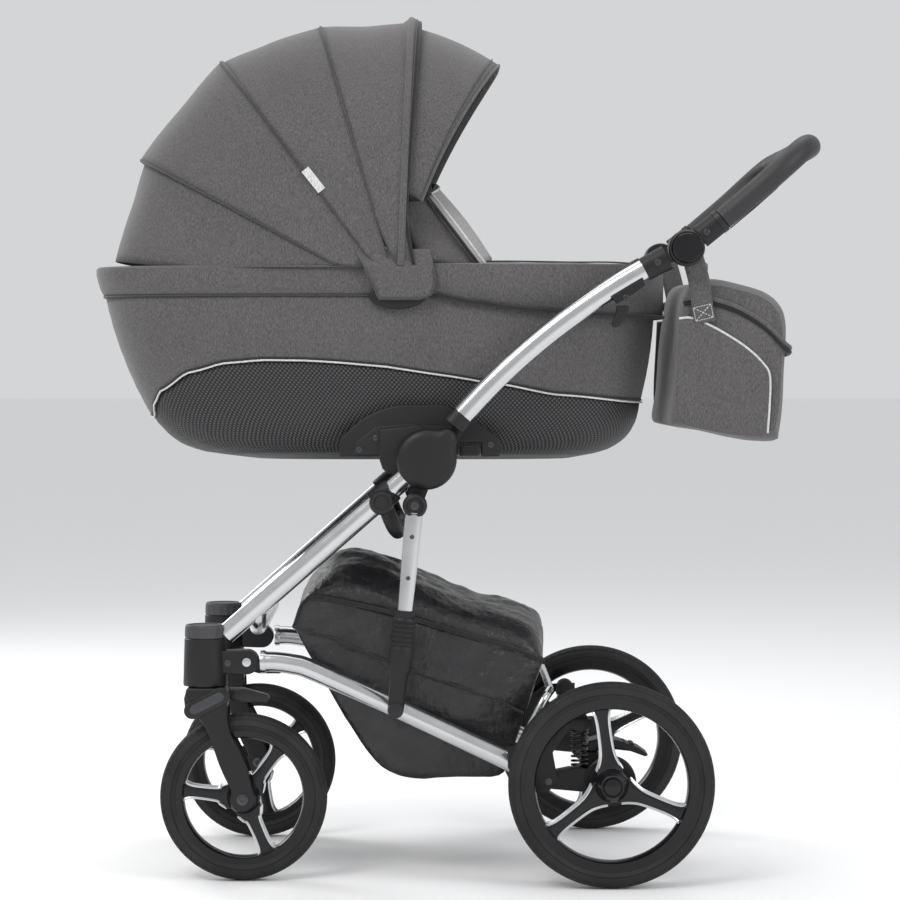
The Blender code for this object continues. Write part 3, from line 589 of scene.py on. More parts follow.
def smooth2(points, steps):
    """A smooth run through points in a plane."""
    return [Vector((p.x, p.y)) for p in spline([(q.x, q.y, 0.0) for q in points], steps)]


def wheels():
    front, rear = FRONT_WHEEL, REAR_WHEEL
    for name, s in SIDES.items():
        y = s * 0.198
        tyre(f"front_{name}", f"front_wheel_{name}", front, y, 0.1210, 0.0198, f"front_wheel_{name}_tyre")
        rim(f"front_{name}", f"front_wheel_{name}", front, y, 0.0865, 53.5 if s < 0 else 40.0,
            f"front_wheel_{name}_rim", s)
        y = s * 0.270
        tyre(f"rear_{name}", f"rear_wheel_{name}", rear, y, 0.1475, 0.0198, f"rear_wheel_{name}_tyre")
        rim(f"rear_{name}", f"rear_wheel_{name}", rear, y, 0.1090, 98.0 if s < 0 else 26.0,
            f"rear_wheel_{name}_rim", s)
        face = y + s * 0.0222
        bm = lathe(rear, face,
                   [(0.0165, 0.0), (0.0165, s * 0.0035), (0.0150, s * 0.0048), (0.0132, s * 0.0040),
                                (0.0132, 0.0)], 40)
        piece(f"hub_collar_{name}", bm, "satin", f"rear_wheel_{name}")
        bm = dome(rear, face + s * 0.0036, s, 0.0124, 0.0044, 0.0022, 40)
        piece(f"hub_cap_{name}", bm, "gloss", f"hub_button_{name}", (f"hub_button_{name}",))


def joint_place(joint):
    for j in frame["record"]["behaviour"]["joints"]:
        if j["name"] == joint:
            return (j["pos_m"][0], j["pos_m"][2])
    raise KeyError(joint)


FRONT_WHEEL = joint_place("front_roll_left")
REAR_WHEEL = joint_place("rear_roll_left")


# Carrycot -----------------------------------------------------------------------------
COT_ROWS = [(0.606, -0.300, 0.170, 0.105), (0.618, -0.385, 0.225, 0.145), (0.650, -0.437, 0.262, 0.172),
            (0.700, -0.470, 0.276, 0.180), (0.790, -0.506, 0.290, 0.186), (0.886, -0.533, 0.300, 0.190)]


def eased(levels, steps=5):
    """More levels between those given, on smooth curves through them."""
    out = []
    for k, (a, b) in enumerate(zip(levels, levels[1:])):
        before, after = levels[max(k - 1, 0)], levels[min(k + 2, len(levels) - 1)]
        rise = b[0] - a[0]
        for u in [step / steps for step in range(steps)]:
            level = [a[0] + rise * u]
            for j in (1, 2, 3):
                m0 = (b[j] - before[j]) / (b[0] - before[0]) * rise
                m1 = (after[j] - a[j]) / (after[0] - a[0]) * rise
                level.append((2 * u ** 3 - 3 * u * u + 1) * a[j] + (u ** 3 - 2 * u * u + u) * m0
                             + (3 * u * u - 2 * u ** 3) * b[j] + (u ** 3 - u * u) * m1)
            out.append(tuple(level))
    return out + [levels[-1]]


COT_PROFILE = eased(COT_ROWS)
PIPE_LINE = [(-0.470, 0.668), (-0.4543, 0.690), (-0.4355, 0.7073), (-0.379, 0.7349), (-0.3239, 0.7480),
             (-0.2688, 0.7522), (-0.2137, 0.7515), (-0.1296, 0.7464), (-0.0833, 0.7406), (-0.0152, 0.7290),
             (0.0486, 0.7189), (0.1486, 0.7015), (0.2732, 0.6900), (0.300, 0.686)]
RIM_LOW, RIM_TOP = 0.847, 0.8885


def plan(z, grow, count):
    """The cot's outline in plan at a height, grown outwards."""
    low = table([(r[0], r[1]) for r in COT_PROFILE], z) - grow
    high = table([(r[0], r[2]) for r in COT_PROFILE], z) + grow
    half = table([(r[0], r[3]) for r in COT_PROFILE], z) + grow
    mid, reach = (low + high) / 2, (high - low) / 2
    power = 3.4
    out = []
    for i in range(count):
        t = 2 * math.pi * i / count
        c, s = math.cos(t), math.sin(t)
        out.append((mid + reach * math.copysign(abs(c) ** (2 / power), c),
                    half * math.copysign(abs(s) ** (2 / power), s)))
    return out


def pipe_height(i, count):
    x, _ = plan(0.72, 0.0, count)[i]
    return table(PIPE_LINE, x)


def cot_rows(low, high, steps, grow, count=144, wobble=0.0):
    """Rows of points between two heights, each of which may differ along the outline."""
    rows = []
    for k in range(steps + 1):
        t = k / steps
        row = []
        for i in range(count):
            z0 = low(i) if callable(low) else low
            z1 = high(i) if callable(high) else high
            z = z0 + (z1 - z0) * t
            g = grow(t) if callable(grow) else grow
            x, y = plan_point(z, g, i, count)
            if wobble:
                n = noise.noise(Vector((x * 7.0, y * 7.0, z * 9.0)))
                m = noise.noise(Vector((x * 23.0, y * 23.0, z * 14.0)))
                out = Vector((x + 0.11, y * 2.2)).normalized() * (n * wobble + m * wobble * 0.35)
                x, y = x + out.x, y + out.y
            row.append((x, y, z))
        rows.append(row)
    return rows


def plan_point(z, grow, i, count):
    low = table([(r[0], r[1]) for r in COT_PROFILE], z) - grow
    high = table([(r[0], r[2]) for r in COT_PROFILE], z) + grow
    half = table([(r[0], r[3]) for r in COT_PROFILE], z) + grow
    t = 2 * math.pi * i / count
    c, s = math.cos(t), math.sin(t)
    return ((low + high) / 2 + (high - low) / 2 * math.copysign(abs(c) ** (2 / 3.4), c),
            half * math.copysign(abs(s) ** (2 / 3.4), s))


def ring_at(height, grow, count=144):
    return [(*plan_point(height(i) if callable(height) else height, grow, i, count),
             height(i) if callable(height) else height) for i in range(count)]


def wrap_round(made, count):
    """Surface coordinates in metres: the length round the shell and the height."""
    level = made.data.vertices
    top = len(level) - count
    round_it = [0.0]
    for i in range(count):
        round_it.append(round_it[-1] + (level[top + (i + 1) % count].co - level[top + i].co).length)
    layer = made.data.uv_layers.new(name="round")
    for face in made.data.polygons:
        spots = [made.data.loops[k].vertex_index % count for k in face.loop_indices]
        seam = 0 in spots and count - 1 in spots
        for k, i in zip(face.loop_indices, spots):
            along = round_it[count if seam and i == 0 else i]
            layer.data[k].uv = (along, level[made.data.loops[k].vertex_index].co.z)


def carrycot():
    count = 144

    def seam(i):
        return pipe_height(i, count)

    rows = cot_rows(seam, RIM_LOW, 16, lambda t: 0.0015 + 0.0022 * math.sin(math.pi * t), count, 0.0012)
    wall = piece("cot_side_fabric", grid(rows, wrap=True), "grey", "cot", ("cot_body",))
    thick(wall, 0.0016)
    rows = cot_rows(0.6075, seam, 14, lambda t: 0.0006 + 0.0008 * math.sin(math.pi * t), count)
    mesh = piece("cot_mesh_panel", grid(rows, wrap=True), "mesh", "cot")
    wrap_round(mesh, count)
    thick(mesh, 0.0012)
    base = [[(x * k - 0.07 * (1 - k), y * k, 0.6052 + (0.0 if k < 0.9 else 0.0008)) for x, y,
             _ in ring_at(0.606, 0.0, count)] for k in (0.02, 0.5, 0.93)]
    base += cot_rows(0.6060, 0.6080, 2, 0.0008, count)
    piece("cot_base_shell", grid(base, wrap=True, caps=False), "plastic", "cot")
    # The rim band is a padded roll with a crease above and below
    prof = [(0.0020, RIM_LOW - 0.001), (0.0045, RIM_LOW + 0.002), (0.0064, RIM_LOW + 0.009),
            (0.0070, RIM_LOW + 0.020), (0.0064, RIM_LOW + 0.031), (0.0044, RIM_TOP - 0.002),
            (0.0010, RIM_TOP + 0.0006), (-0.0040, RIM_TOP), (-0.0070, RIM_TOP - 0.004),
            (-0.0078, RIM_TOP - 0.014)]
    rows = []
    for grow, z in prof:
        row = []
        for i in range(count):
            x, y = plan_point(min(z, 0.886), grow + 0.0007 * noise.noise(Vector((i * 0.35, z * 30, 3))), i,
                              count)
            row.append((x, y, z))
        rows.append(row)
    band = piece("cot_rim_band", grid(rows, wrap=True), "grey", "cot")
    thick(band, 0.0012)
    bm = rope([Vector(p) for p in ring_at(RIM_LOW - 0.0012, 0.0040, count)], 0.0014, 6, closed=True)
    piece("cot_rim_seam_low", bm, "thread", "cot")
    bm = rope([Vector(p) for p in ring_at(seam, 0.0036, count)], 0.0014, 8, closed=True)
    piece("cot_piping", bm, "piping", "cot")
    bm = rope([Vector(p) for p in ring_at(lambda i: seam(i) + 0.0034, 0.0030, count)], 0.0011, 6,
              closed=True)
    piece("cot_piping_fold", bm, "binding", "cot")
    lining = cot_rows(0.640, 0.8800, 12, -0.0085, count, 0.0010)
    piece("cot_lining", grid(lining, wrap=True), "inner", "cot")


def mattress():
    rows = []
    count = 72
    for z, inset in ((0.6235, 0.030), (0.6245, 0.020), (0.634, 0.0145), (0.650, 0.0125), (0.664, 0.0145),
                     (0.672, 0.022), (0.6765, 0.045), (0.679, 0.085), (0.6795, 0.14)):
        rows.append([(*plan_point(z, -inset, i, count), z + 0.0012 * noise.noise(Vector((i * 0.4, z * 60,
                0)))) for i in range(count)])
    made = piece("mattress_pad", grid(rows, wrap=True, caps=True), "inner", "cot", ("mattress",))
    bm = rope([Vector((*plan_point(0.66, -0.0135, i, count), 0.6655)) for i in range(count)], 0.0014, 6,
              closed=True)
    piece("mattress_piping", bm, "inner", "cot")


APRON_HEM = 0.846
APRON_DROP = [(-0.05, 0.004), (0.02, -0.010), (0.10, -0.020), (0.20, -0.027), (0.30, -0.030)]


def apron_height(x, y):
    """The apron's top: humped behind the flap, falling to the foot end and to its sides."""
    crown = table([(-0.05, 0.902), (0.0, 0.901), (0.05, 0.899), (0.12, 0.898), (0.22, 0.896),
                   (0.30, 0.891)], x)
    side = min(1.0, abs(y) / 0.190)
    fold = 0.0014 * noise.noise(Vector((x * 16, y * 9, 1.0)))
    return crown - (crown - 0.8905) * side ** 2.6 + fold


def apron():
    count, steps = 96, 14
    low_x = -0.048
    rows = []
    for k in range(steps + 1):
        t = k / steps
        row = []
        for i in range(count):
            x, y = plan_point(0.886, 0.0065, i, count)
            x, y = (x - 0.12) * t + 0.12, y * t
            x = max(x, low_x + 0.012 * (abs(y) / 0.19) ** 2)
            row.append((x, y, apron_height(x, y)))
        if k:
            rows.append(row)
    for grow, z in ((0.0082, 0.8905), (0.0096, 0.8830), (0.0100, 0.870), (0.0092, APRON_HEM)):
        row = []
        for i in range(count):
            x, y = plan_point(0.886, grow + 0.0008 * noise.noise(Vector((i * 0.5, z * 40, 5))), i, count)
            x = max(x, low_x + 0.012)
            depth = (0.8905 - z) / (0.8905 - APRON_HEM)
            row.append((x, y, z + table(APRON_DROP, x) * depth))
        rows.append(row)
    bm = grid(rows, wrap=True)
    bm.verts.ensure_lookup_table()
    bm.faces.new(bm.verts[:count])
    made = piece("apron_cover", bm, "grey", "cot", ("apron",))
    thick(made, 0.0022)
    hem = []
    for i in range(count):
        x, y = plan_point(0.886, 0.0102, i, count)
        if x > low_x + 0.013:
            hem.append((i, Vector((x, y, APRON_HEM + table(APRON_DROP, x)))))
    order = [p for i, p in hem if i > count // 2] + [p for i, p in hem if i <= count // 2]
    bm = rope(order, 0.0026, 8, 0.7)
    piece("apron_hem", bm, "binding", "cot")
    for s in (-1, 1):
        seam = [(x, s * 0.150, apron_height(x, 0.150) + 0.0012) for x in
                [low_x + 0.012 + 0.022 * k for k in range(14)]]
        piece(f"apron_seam_{'left' if s < 0 else 'right'}", rope(spline(seam, 3), 0.0013, 6), "thread",
              "cot")


def windscreen():
    """Light padded flap with dark wings, a bound edge and reflective piping."""
    foot, tip = Vector((0.0480, 0.8985)), Vector((-0.0370, 1.0120))
    way = (tip - foot).normalized()
    out = Vector((way.y, -way.x))
    length = (tip - foot).length

    def spot(u, v, lift=0.0):
        """u runs across from -1 to 1 and v up from 0 to 1."""
        half = 0.168 - 0.030 * v ** 2
        wing = max(0.0, abs(u) - 0.72) / 0.28
        back = 0.022 * wing ** 1.5
        swell = 0.006 * (1 - u * u) * math.sin(math.pi * min(v * 1.05, 1.0)) + lift
        c = foot + way * (length * v * (1 - 0.10 * u * u)) + out * (swell - back)
        return (c.x, half * u, c.y)

    rows = [[spot(-1 + 2 * i / 40, k / 14) for i in range(41)] for k in range(15)]
    made = piece("windscreen_fabric", grid(rows), "grey_light", "flap", ("windscreen_flap",))
    thick(made, 0.0045, 1.0)
    for name, mat, lift, size, inset in (("binding", "binding", 0.0035, 0.0030, 0.0),
                                         ("piping", "piping", 0.0062, 0.0017, 0.055)):
        path = [spot(-1 + inset, v / 10, lift) for v in range(0, 11)]
        path += [spot(-1 + inset + (2 - 2 * inset) * k / 20, 1 - inset * 0.5, lift) for k in range(1, 20)]
        path += [spot(1 - inset, 1 - v / 10, lift) for v in range(0, 11)]
        piece(f"windscreen_{name}", rope(path, size, 8), mat, "flap")
    # Soft gussets close the gap between the flap and the hood's sides
    for name, s in SIDES.items():
        rows = []
        for k in range(13):
            v = k / 12
            front = Vector(spot(s * 0.93, v * 0.93, -0.003))
            back = Vector((-0.0560 - 0.030 * v, s * (0.182 - 0.030 * v), 0.8930 + 0.088 * v))
            row = []
            for j in range(9):
                u = j / 8
                q = back.lerp(front, u)
                fold = 0.006 * math.sin(math.pi * u) * math.sin(7.0 * v + 2.0 * u) * (1 - 0.5 * v)
                row.append((q.x, q.y + s * (fold + 0.004 * math.sin(math.pi * u)), q.z))
            rows.append(row)
        thick(piece(f"windscreen_gusset_{name}", grid(rows), "grey", "flap"), 0.0020)


# Hood ---------------------------------------------------------------------------------
# Cut area of each gore; a gore narrows to a point at the pivot, so it is under its rectangle
PANELS = [("rear", "cot", "hood_rear", 8.0, 28.9, [(8.0, 0.4305), (20.0, 0.4295), (28.9, 0.4340)],
           0.2010), ("first", "hood_1", "hood_panel_1", 28.3, 53.6,
                     [(28.3, 0.4420), (42.0, 0.4405), (53.6, 0.4480)], 0.2040),
          ("second", "hood_2", "hood_panel_2", 53.0, 74.2, [(53.0, 0.4450), (62.0, 0.4370),
        (74.2, 0.4270)], 0.2065), ("third", "hood_3", "hood_panel_3", 73.6, 94.0,
                                   [(73.6, 0.4265), (84.0, 0.4170), (90.5, 0.4170), (92.3, 0.4265),
                                    (94.0, 0.4190)], 0.2090)]
ARCH_POWER = 3.1


def arch_point(radius, half, t):
    """A bow's half-width and distance from the pivot; t runs from 0 at one side to 1 at the other."""
    inner = 0.050
    edge = (inner / radius) ** (ARCH_POWER / 2)
    angle = edge + (math.pi - 2 * edge) * t
    c, s = math.cos(angle), math.sin(angle)
    return half * math.copysign(abs(c) ** (2 / ARCH_POWER), c), radius * abs(s) ** (2 / ARCH_POWER)


def hood_point(phi, radius, half, t, floor):
    y, r = arch_point(radius, half, t)
    a = math.radians(phi)
    z = HOOD.y + r * math.sin(a)
    return Vector((HOOD.x - r * math.cos(a), y, max(z, floor)))


def hood_surface(first, last, radii, half, floor, steps=12, count=72, sag=0.0):
    """Rows of a panel's outer face: fabric dips a little between its two bows."""
    rows = []
    for k in range(steps + 1):
        u = k / steps
        phi = first + (last - first) * u
        row = []
        for i in range(count + 1):
            t = i / count
            p = hood_point(phi, table(radii, phi), half, t, floor)
            n = noise.noise(Vector((p.x * 6, p.y * 6, p.z * 6))) * 0.0016
            n += noise.noise(Vector((p.x * 17, p.y * 11, p.z * 17))) * 0.0007
            out = Vector((p.x - HOOD.x, p.y * 1.5, p.z - HOOD.y)).normalized()
            dip = -sag * math.sin(math.pi * u) * (0.4 + 0.6 * math.sin(math.pi * t))
            row.append(p + out * (n + dip))
        rows.append(row)
    return rows


def hood():
    for name, body, node, first, last, radii, half in PANELS:
        floor = 0.8440 if name == "third" else 0.8885
        rows = hood_surface(first, last, radii, half, floor, sag=0.0035)
        if name == "third":
            rows = [[flap_corner(p) for p in row] for row in rows]
        bm = grid(rows)
        bmesh.ops.dissolve_degenerate(bm, edges=bm.edges, dist=1e-5)
        made = piece(f"hood_{name}_fabric", bm, "grey", body, (node,))
        thick(made, 0.0024)
        count = 90
        for tag, phi, mat, size, lift in (("seam", last - 0.5, "thread", 0.0012, 0.0006),
                                          ("hem", first + 0.35, "thread", 0.0010, 0.0008)):
            if name == "rear" and tag == "hem":
                continue
            path = []
            for i in range(count + 1):
                p = hood_point(phi, table(radii, phi) + lift, half + lift, i / count, floor)
                path.append(flap_corner(p) if name == "third" else p)
            piece(f"hood_{name}_{tag}", rope(thinned(path), size, 6), mat, body)
    # bow sleeve at the crown of the third panel
    path = [hood_point(92.3, 0.4205, 0.2090, i / 90, 0.849) for i in range(91)]
    piece("hood_bow_sleeve", rope(thinned(path), 0.0050, 12), "grey", "hood_3")
    binding = [flap_corner(hood_point(94.0, 0.4180, 0.2095, i / 90, 0.8440)) for i in range(91)]
    piece("hood_front_binding", rope(thinned(binding), 0.0030, 8, 0.7), "binding", "hood_3")


def thinned(path, gap=0.004):
    """The path without points that crowd the last one kept."""
    out = [path[0]]
    for p in path[1:]:
        if (p - out[-1]).length > gap:
            out.append(p)
    return out


def flap_corner(p):
    """The third panel's front lower corners reach forwards over the cot's rim."""
    low = max(0.0, min(1.0, (0.960 - p.z) / 0.115))
    front = max(0.0, min(1.0, (p.x + 0.125) / 0.045))
    return Vector((p.x + 0.030 * low ** 1.2 * front, p.y, p.z))


def visor_point(u, t, drop=0.0):
    """u from the third panel's front to the visor's edge; t from side to side."""
    radius = 0.4090 + (0.3830 - 0.4090) * u - drop
    y, r = arch_point(radius, 0.1990 - 0.004 * u, 0.06 + 0.88 * t)
    reach = max(0.0, min(1.0, (r - 0.125) / 0.255))
    last = 101.0 + 11.6 * reach ** 0.8
    a = math.radians(93.6 + (last - 93.6) * u)
    return Vector((HOOD.x - r * math.cos(a), y, HOOD.y + r * math.sin(a)))


def visor():
    rows = [[visor_point(k / 10, i / 72) for i in range(73)] for k in range(11)]
    made = piece("visor_fabric", grid(rows), "grey", "visor", ("visor",))
    thick(made, 0.0022)
    rows = [[visor_point(k / 10.6, i / 72, 0.0036) for i in range(73)] for k in range(11)]
    # A lining sheet under the visor, coloured near black as painted shade.
    piece("visor_lining_shade", grid(rows), "lining", "visor")
    edge = thinned([visor_point(1.0, i / 72) for i in range(73)])
    piece("visor_binding", rope(edge, 0.0022, 8), "grey", "visor")
    edge = thinned([visor_point(0.90, i / 72, -0.0018) for i in range(73)])
    piece("visor_seam", rope(edge, 0.0009, 6), "thread", "visor")


def side_flap(name, s):
    """The third panel runs down past the rim on each side as a rounded, stitched flap."""
    left = [(0.8395, -0.1125), (0.8480, -0.1165), (0.8620, -0.1220), (0.8850, -0.1350), (0.9150, -0.1500)]
    right = [(0.8395, -0.0580), (0.8430, -0.0440), (0.8480, -0.0370), (0.8620, -0.0326), (0.8850, -0.0341),
             (0.9150, -0.0415)]
    rows = []
    for k in range(19):
        z = 0.8400 + (0.9120 - 0.8400) * k / 18
        x0, x1 = table(left, z), table(right, z)
        tuck = 0.0075 * max(0.0, (z - 0.887) / 0.025) ** 1.2
        row = []
        for i in range(17):
            u = i / 16
            x = x0 + (x1 - x0) * u
            puff = 0.0016 * math.sin(math.pi * u) * min(1.0, k / 3)
            row.append((x, s * (0.2088 + puff - tuck + 0.0005 * noise.noise(Vector((x * 30, s, z * 30)))),
                        z))
        rows.append(row)
    made = piece(f"hood_side_flap_{name}", grid(rows), "grey", "hood_3")
    thick(made, 0.0030)
    edge = [Vector(row[0]) for row in reversed(rows[:12])] + [Vector(p) for p in rows[0][1:-1]]
    edge += [Vector(row[-1]) for row in rows[:12]]
    piece(f"hood_flap_binding_{name}", rope(thinned(edge), 0.0017, 8), "thread", "hood_3")


def hood_extras():
    """Blank side labels, hinge plates under the flaps, and the side flaps."""
    for name, s in SIDES.items():
        ellipse = [(-0.0865 + 0.0410 * math.cos(t), 0.8440 + 0.0180 * math.sin(t))
                   for t in turns(40)]
        y0, y1 = sorted((s * 0.1900, s * 0.2035))
        bevelled(piece(f"hood_hinge_{name}", slab(ellipse, y0, y1), "plastic", "cot"), 0.0022, 3)
        side_flap(name, s)
        mid = Vector((-0.2075, 1.0110))
        d = Vector((0.62, -0.78)).normalized()
        n = Vector((-d.y, d.x))
        corners = [mid + d * a + n * b for a,
                   b in ((-0.0195, -0.0063), (0.0195, -0.0063), (0.0195, 0.0063), (-0.0195, 0.0063))]
        bm = slab([tuple(c) for c in corners], s * 0.1985, s * 0.2035)
        tag = piece(f"hood_label_{name}", bm, "piping", "hood_1")
        bevelled(tag, 0.0006, 2)


# Bag ----------------------------------------------------------------------------------
BAG_OUTLINE = [(0.3085, 0.6650), (0.3150, 0.7100), (0.3200, 0.7700), (0.3270, 0.8300), (0.3390, 0.8640),
               (0.3700, 0.8720), (0.4050, 0.8660), (0.4430, 0.8530), (0.4690, 0.8280), (0.4770, 0.7900),
               (0.4745, 0.7200), (0.4690, 0.6500), (0.4600, 0.6360), (0.4100, 0.6400), (0.3600, 0.6500),
               (0.3200, 0.6560)]


def closed_curve(outline, steps=5):
    """Smooth closed loop through points in X and Z."""
    pts = [Vector((x, z)) for x, z in outline]
    n = len(pts)
    out = []
    for k in range(n):
        a, b, c, d = (pts[(k + j - 1) % n] for j in range(4))
        for i in range(steps):
            t = i / steps
            out.append(0.5 * (2 * b + (c - a) * t + (2 * a - 5 * b + 4 * c - d) * t * t
                              + (3 * b - a - 3 * c + d) * t ** 3))
    return out


def bag():
    """Changing bag: a sagging body, a lid with a zip band, and piped side pockets."""
    loop = closed_curve(BAG_OUTLINE)
    middle = Vector((0.395, 0.755))
    rows = []
    half = 0.198
    steps = 36
    for k in range(steps + 1):
        v = -1 + 2 * k / steps
        # The side walls close in with rounded corners
        y = half * v
        edge = max(0.0, (abs(v) - 0.80) / 0.20)
        size = 1.0 - 0.10 * edge ** 2.6
        sag = 0.010 * (1 - v * v)
        row = []
        for p in loop:
            q = middle + (p - middle) * size
            low = max(0.0, (0.70 - q.y) / 0.07)
            top = max(0.0, (q.y - 0.84) / 0.03)
            n = noise.noise(Vector((q.x * 12, y * 9, q.y * 12))) * 0.0035
            n += noise.noise(Vector((q.x * 30, y * 22, q.y * 30))) * 0.0010
            out = (q - middle).normalized()
            q = q + out * n
            row.append((q.x, y, q.y - sag * 0.45 * low - sag * 0.5 * top))
        rows.append(row)
    for inset, close in ((0.60, 0.0012), (0.25, 0.0030), (0.02, 0.0036)):
        for end in (0, -1):
            s = -1 if end == 0 else 1
            ring = []
            for p in loop:
                q = middle + (p - middle) * 0.90 * inset
                n = noise.noise(Vector((q.x * 14, s * 3, q.y * 14))) * 0.003
                ring.append((q.x, s * (half + close + n * 0.5), q.y))
            if end == 0:
                rows.insert(0, ring)
            else:
                rows.append(ring)
    made = piece("bag_body", grid(rows, wrap=True, caps=True), "grey", "bag", ("bag",))
    lid_line = [(0.3255, 0.8395), (0.3500, 0.8430), (0.3750, 0.8380), (0.4020, 0.8290), (0.4280, 0.8150),
                (0.4500, 0.7990), (0.4725, 0.7760)]
    for tag, mat, drop, size, grow in (("lid_edge", "grey", 0.0, 0.0034, 0.0022),
                                       ("zip_tape", "binding", -0.0062, 0.0046, 0.0002),
                                       ("zip_teeth", "plastic", -0.0062, 0.0014, 0.0042)):
        path = []
        for x, z in lid_line:
            path.append((x, -(0.1975 + grow), z + drop))
        back = [(0.4790 + grow, y, 0.7700 + drop - 0.005 * (1 - (y / 0.19) ** 2)) for y in (-0.185, -0.12,
                -0.06, 0.0, 0.06, 0.12, 0.185)]
        path += back + [(x, 0.1975 + grow, z + drop) for x, z in reversed(lid_line)]
        piece(f"bag_{tag}", rope(spline(path, 6), size, 8, 1.0), mat, "bag")
    for name, s in SIDES.items():
        y = s * 0.2005
        edge = [(0.3190, 0.8120), (0.3350, 0.8130), (0.3560, 0.8060), (0.3880, 0.7890), (0.4180, 0.7690),
                (0.4400, 0.7480), (0.4500, 0.7300), (0.4500, 0.6900), (0.4470, 0.6470)]
        low = [(0.4400, 0.6420), (0.4000, 0.6440), (0.3500, 0.6530), (0.3200, 0.6640), (0.3140, 0.7000),
               (0.3170, 0.7700)]
        outline = [(p.x, p.z) for p in spline([(x, 0, z) for x, z in edge], 4)]
        outline += [(p.x, p.z) for p in spline([(x, 0, z) for x, z in low], 3)]
        centre = Vector((0.385, 0.725))
        rows = []
        for size, lift in ((1.0, 0.0000), (0.995, 0.0026), (0.95, 0.0044), (0.70, 0.0062), (0.35, 0.0068),
                           (0.02, 0.0070)):
            row = []
            for x, z in outline:
                q = centre + (Vector((x, z)) - centre) * size
                n = noise.noise(Vector((q.x * 20, s * 5, q.y * 20))) * 0.0016 * (1 if size < 0.99 else 0)
                row.append((q.x, y + s * (lift + n), q.y))
            rows.append(row)
        piece(f"bag_pocket_{name}", grid(rows, wrap=True, caps=True), "grey", "bag")
        path = spline([(x, y + s * 0.0022, z) for x, z in edge], 6)
        piece(f"bag_pocket_piping_{name}", rope(path, 0.0018, 8), "piping", "bag")
        # webbing strap up behind the angle joint, with a stitched box
        strap = [(0.3560, 0.8060), (0.3520, 0.8300), (0.3480, 0.8600), (0.3420, 0.8850), (0.3360, 0.9050)]
        wide = 0.0150
        rows = []
        for k, p in enumerate(spline([(x, 0, z) for x, z in strap], 5)):
            y_here = s * (0.2035 + 0.0055 * min(1.0, max(0.0, (p.z - 0.80) / 0.06)))
            rows.append([(p.x - wide, y_here, p.z - 0.0035),
                         (p.x - wide * 0.5, y_here + s * 0.0006, p.z - 0.0018),
                         (p.x + wide * 0.5, y_here + s * 0.0006, p.z + 0.0018),
                         (p.x + wide, y_here, p.z + 0.0035)])
        band = piece(f"bag_strap_{name}", grid(rows), "grey", "bag")
        thick(band, 0.0026, 0.0)
        box = [(0.3430, 0.8080), (0.3680, 0.8140), (0.3640, 0.8330), (0.3390, 0.8270)]
        stitch = bmesh.new()
        for a, b in ((0, 1), (1, 2), (2, 3), (3, 0), (0, 2), (1, 3)):
            pa, pb = Vector(box[a]), Vector(box[b])
            for q in range(7):
                u0, u1 = (q + 0.15) / 7, (q + 0.80) / 7
                qa, qb = pa.lerp(pb, u0), pa.lerp(pb, u1)
                yy = s * (0.2035 + 0.0055 * min(1.0, max(0.0, (qa.y - 0.80) / 0.06)) + 0.0020)
                rope([(qa.x, yy, qa.y), (qb.x, yy, qb.y)], 0.0006, 5, bm=stitch)
        piece(f"bag_strap_stitches_{name}", stitch, "piping", "bag")
        ring = [(0.3300 + 0.0085 * math.cos(t), s * 0.2100, 0.9060 + 0.0085 * math.sin(t)) for t in
                turns(20)]
        piece(f"bag_ring_{name}", rope(ring, 0.0014, 8, closed=True), "steel", "bag")
    loop_path = [(0.3650, -0.050, 0.8700), (0.3680, -0.046, 0.8860), (0.3700, -0.030, 0.8960),
                 (0.3700, 0.0, 0.8990), (0.3700, 0.030, 0.8960), (0.3680, 0.046, 0.8860),
                 (0.3650, 0.050, 0.8700)]
    piece("bag_grab_loop", rope(spline(loop_path, 6), 0.0075, 10, 0.35), "grey", "bag")


# Basket -------------------------------------------------------------------------------
COVER_HEM = [(-0.2370, 0.3660), (-0.2150, 0.4080), (-0.1500, 0.4000), (-0.0900, 0.3860),
             (-0.0300, 0.3680), (0.0300, 0.3500), (0.0900, 0.3320), (0.1260, 0.3150)]


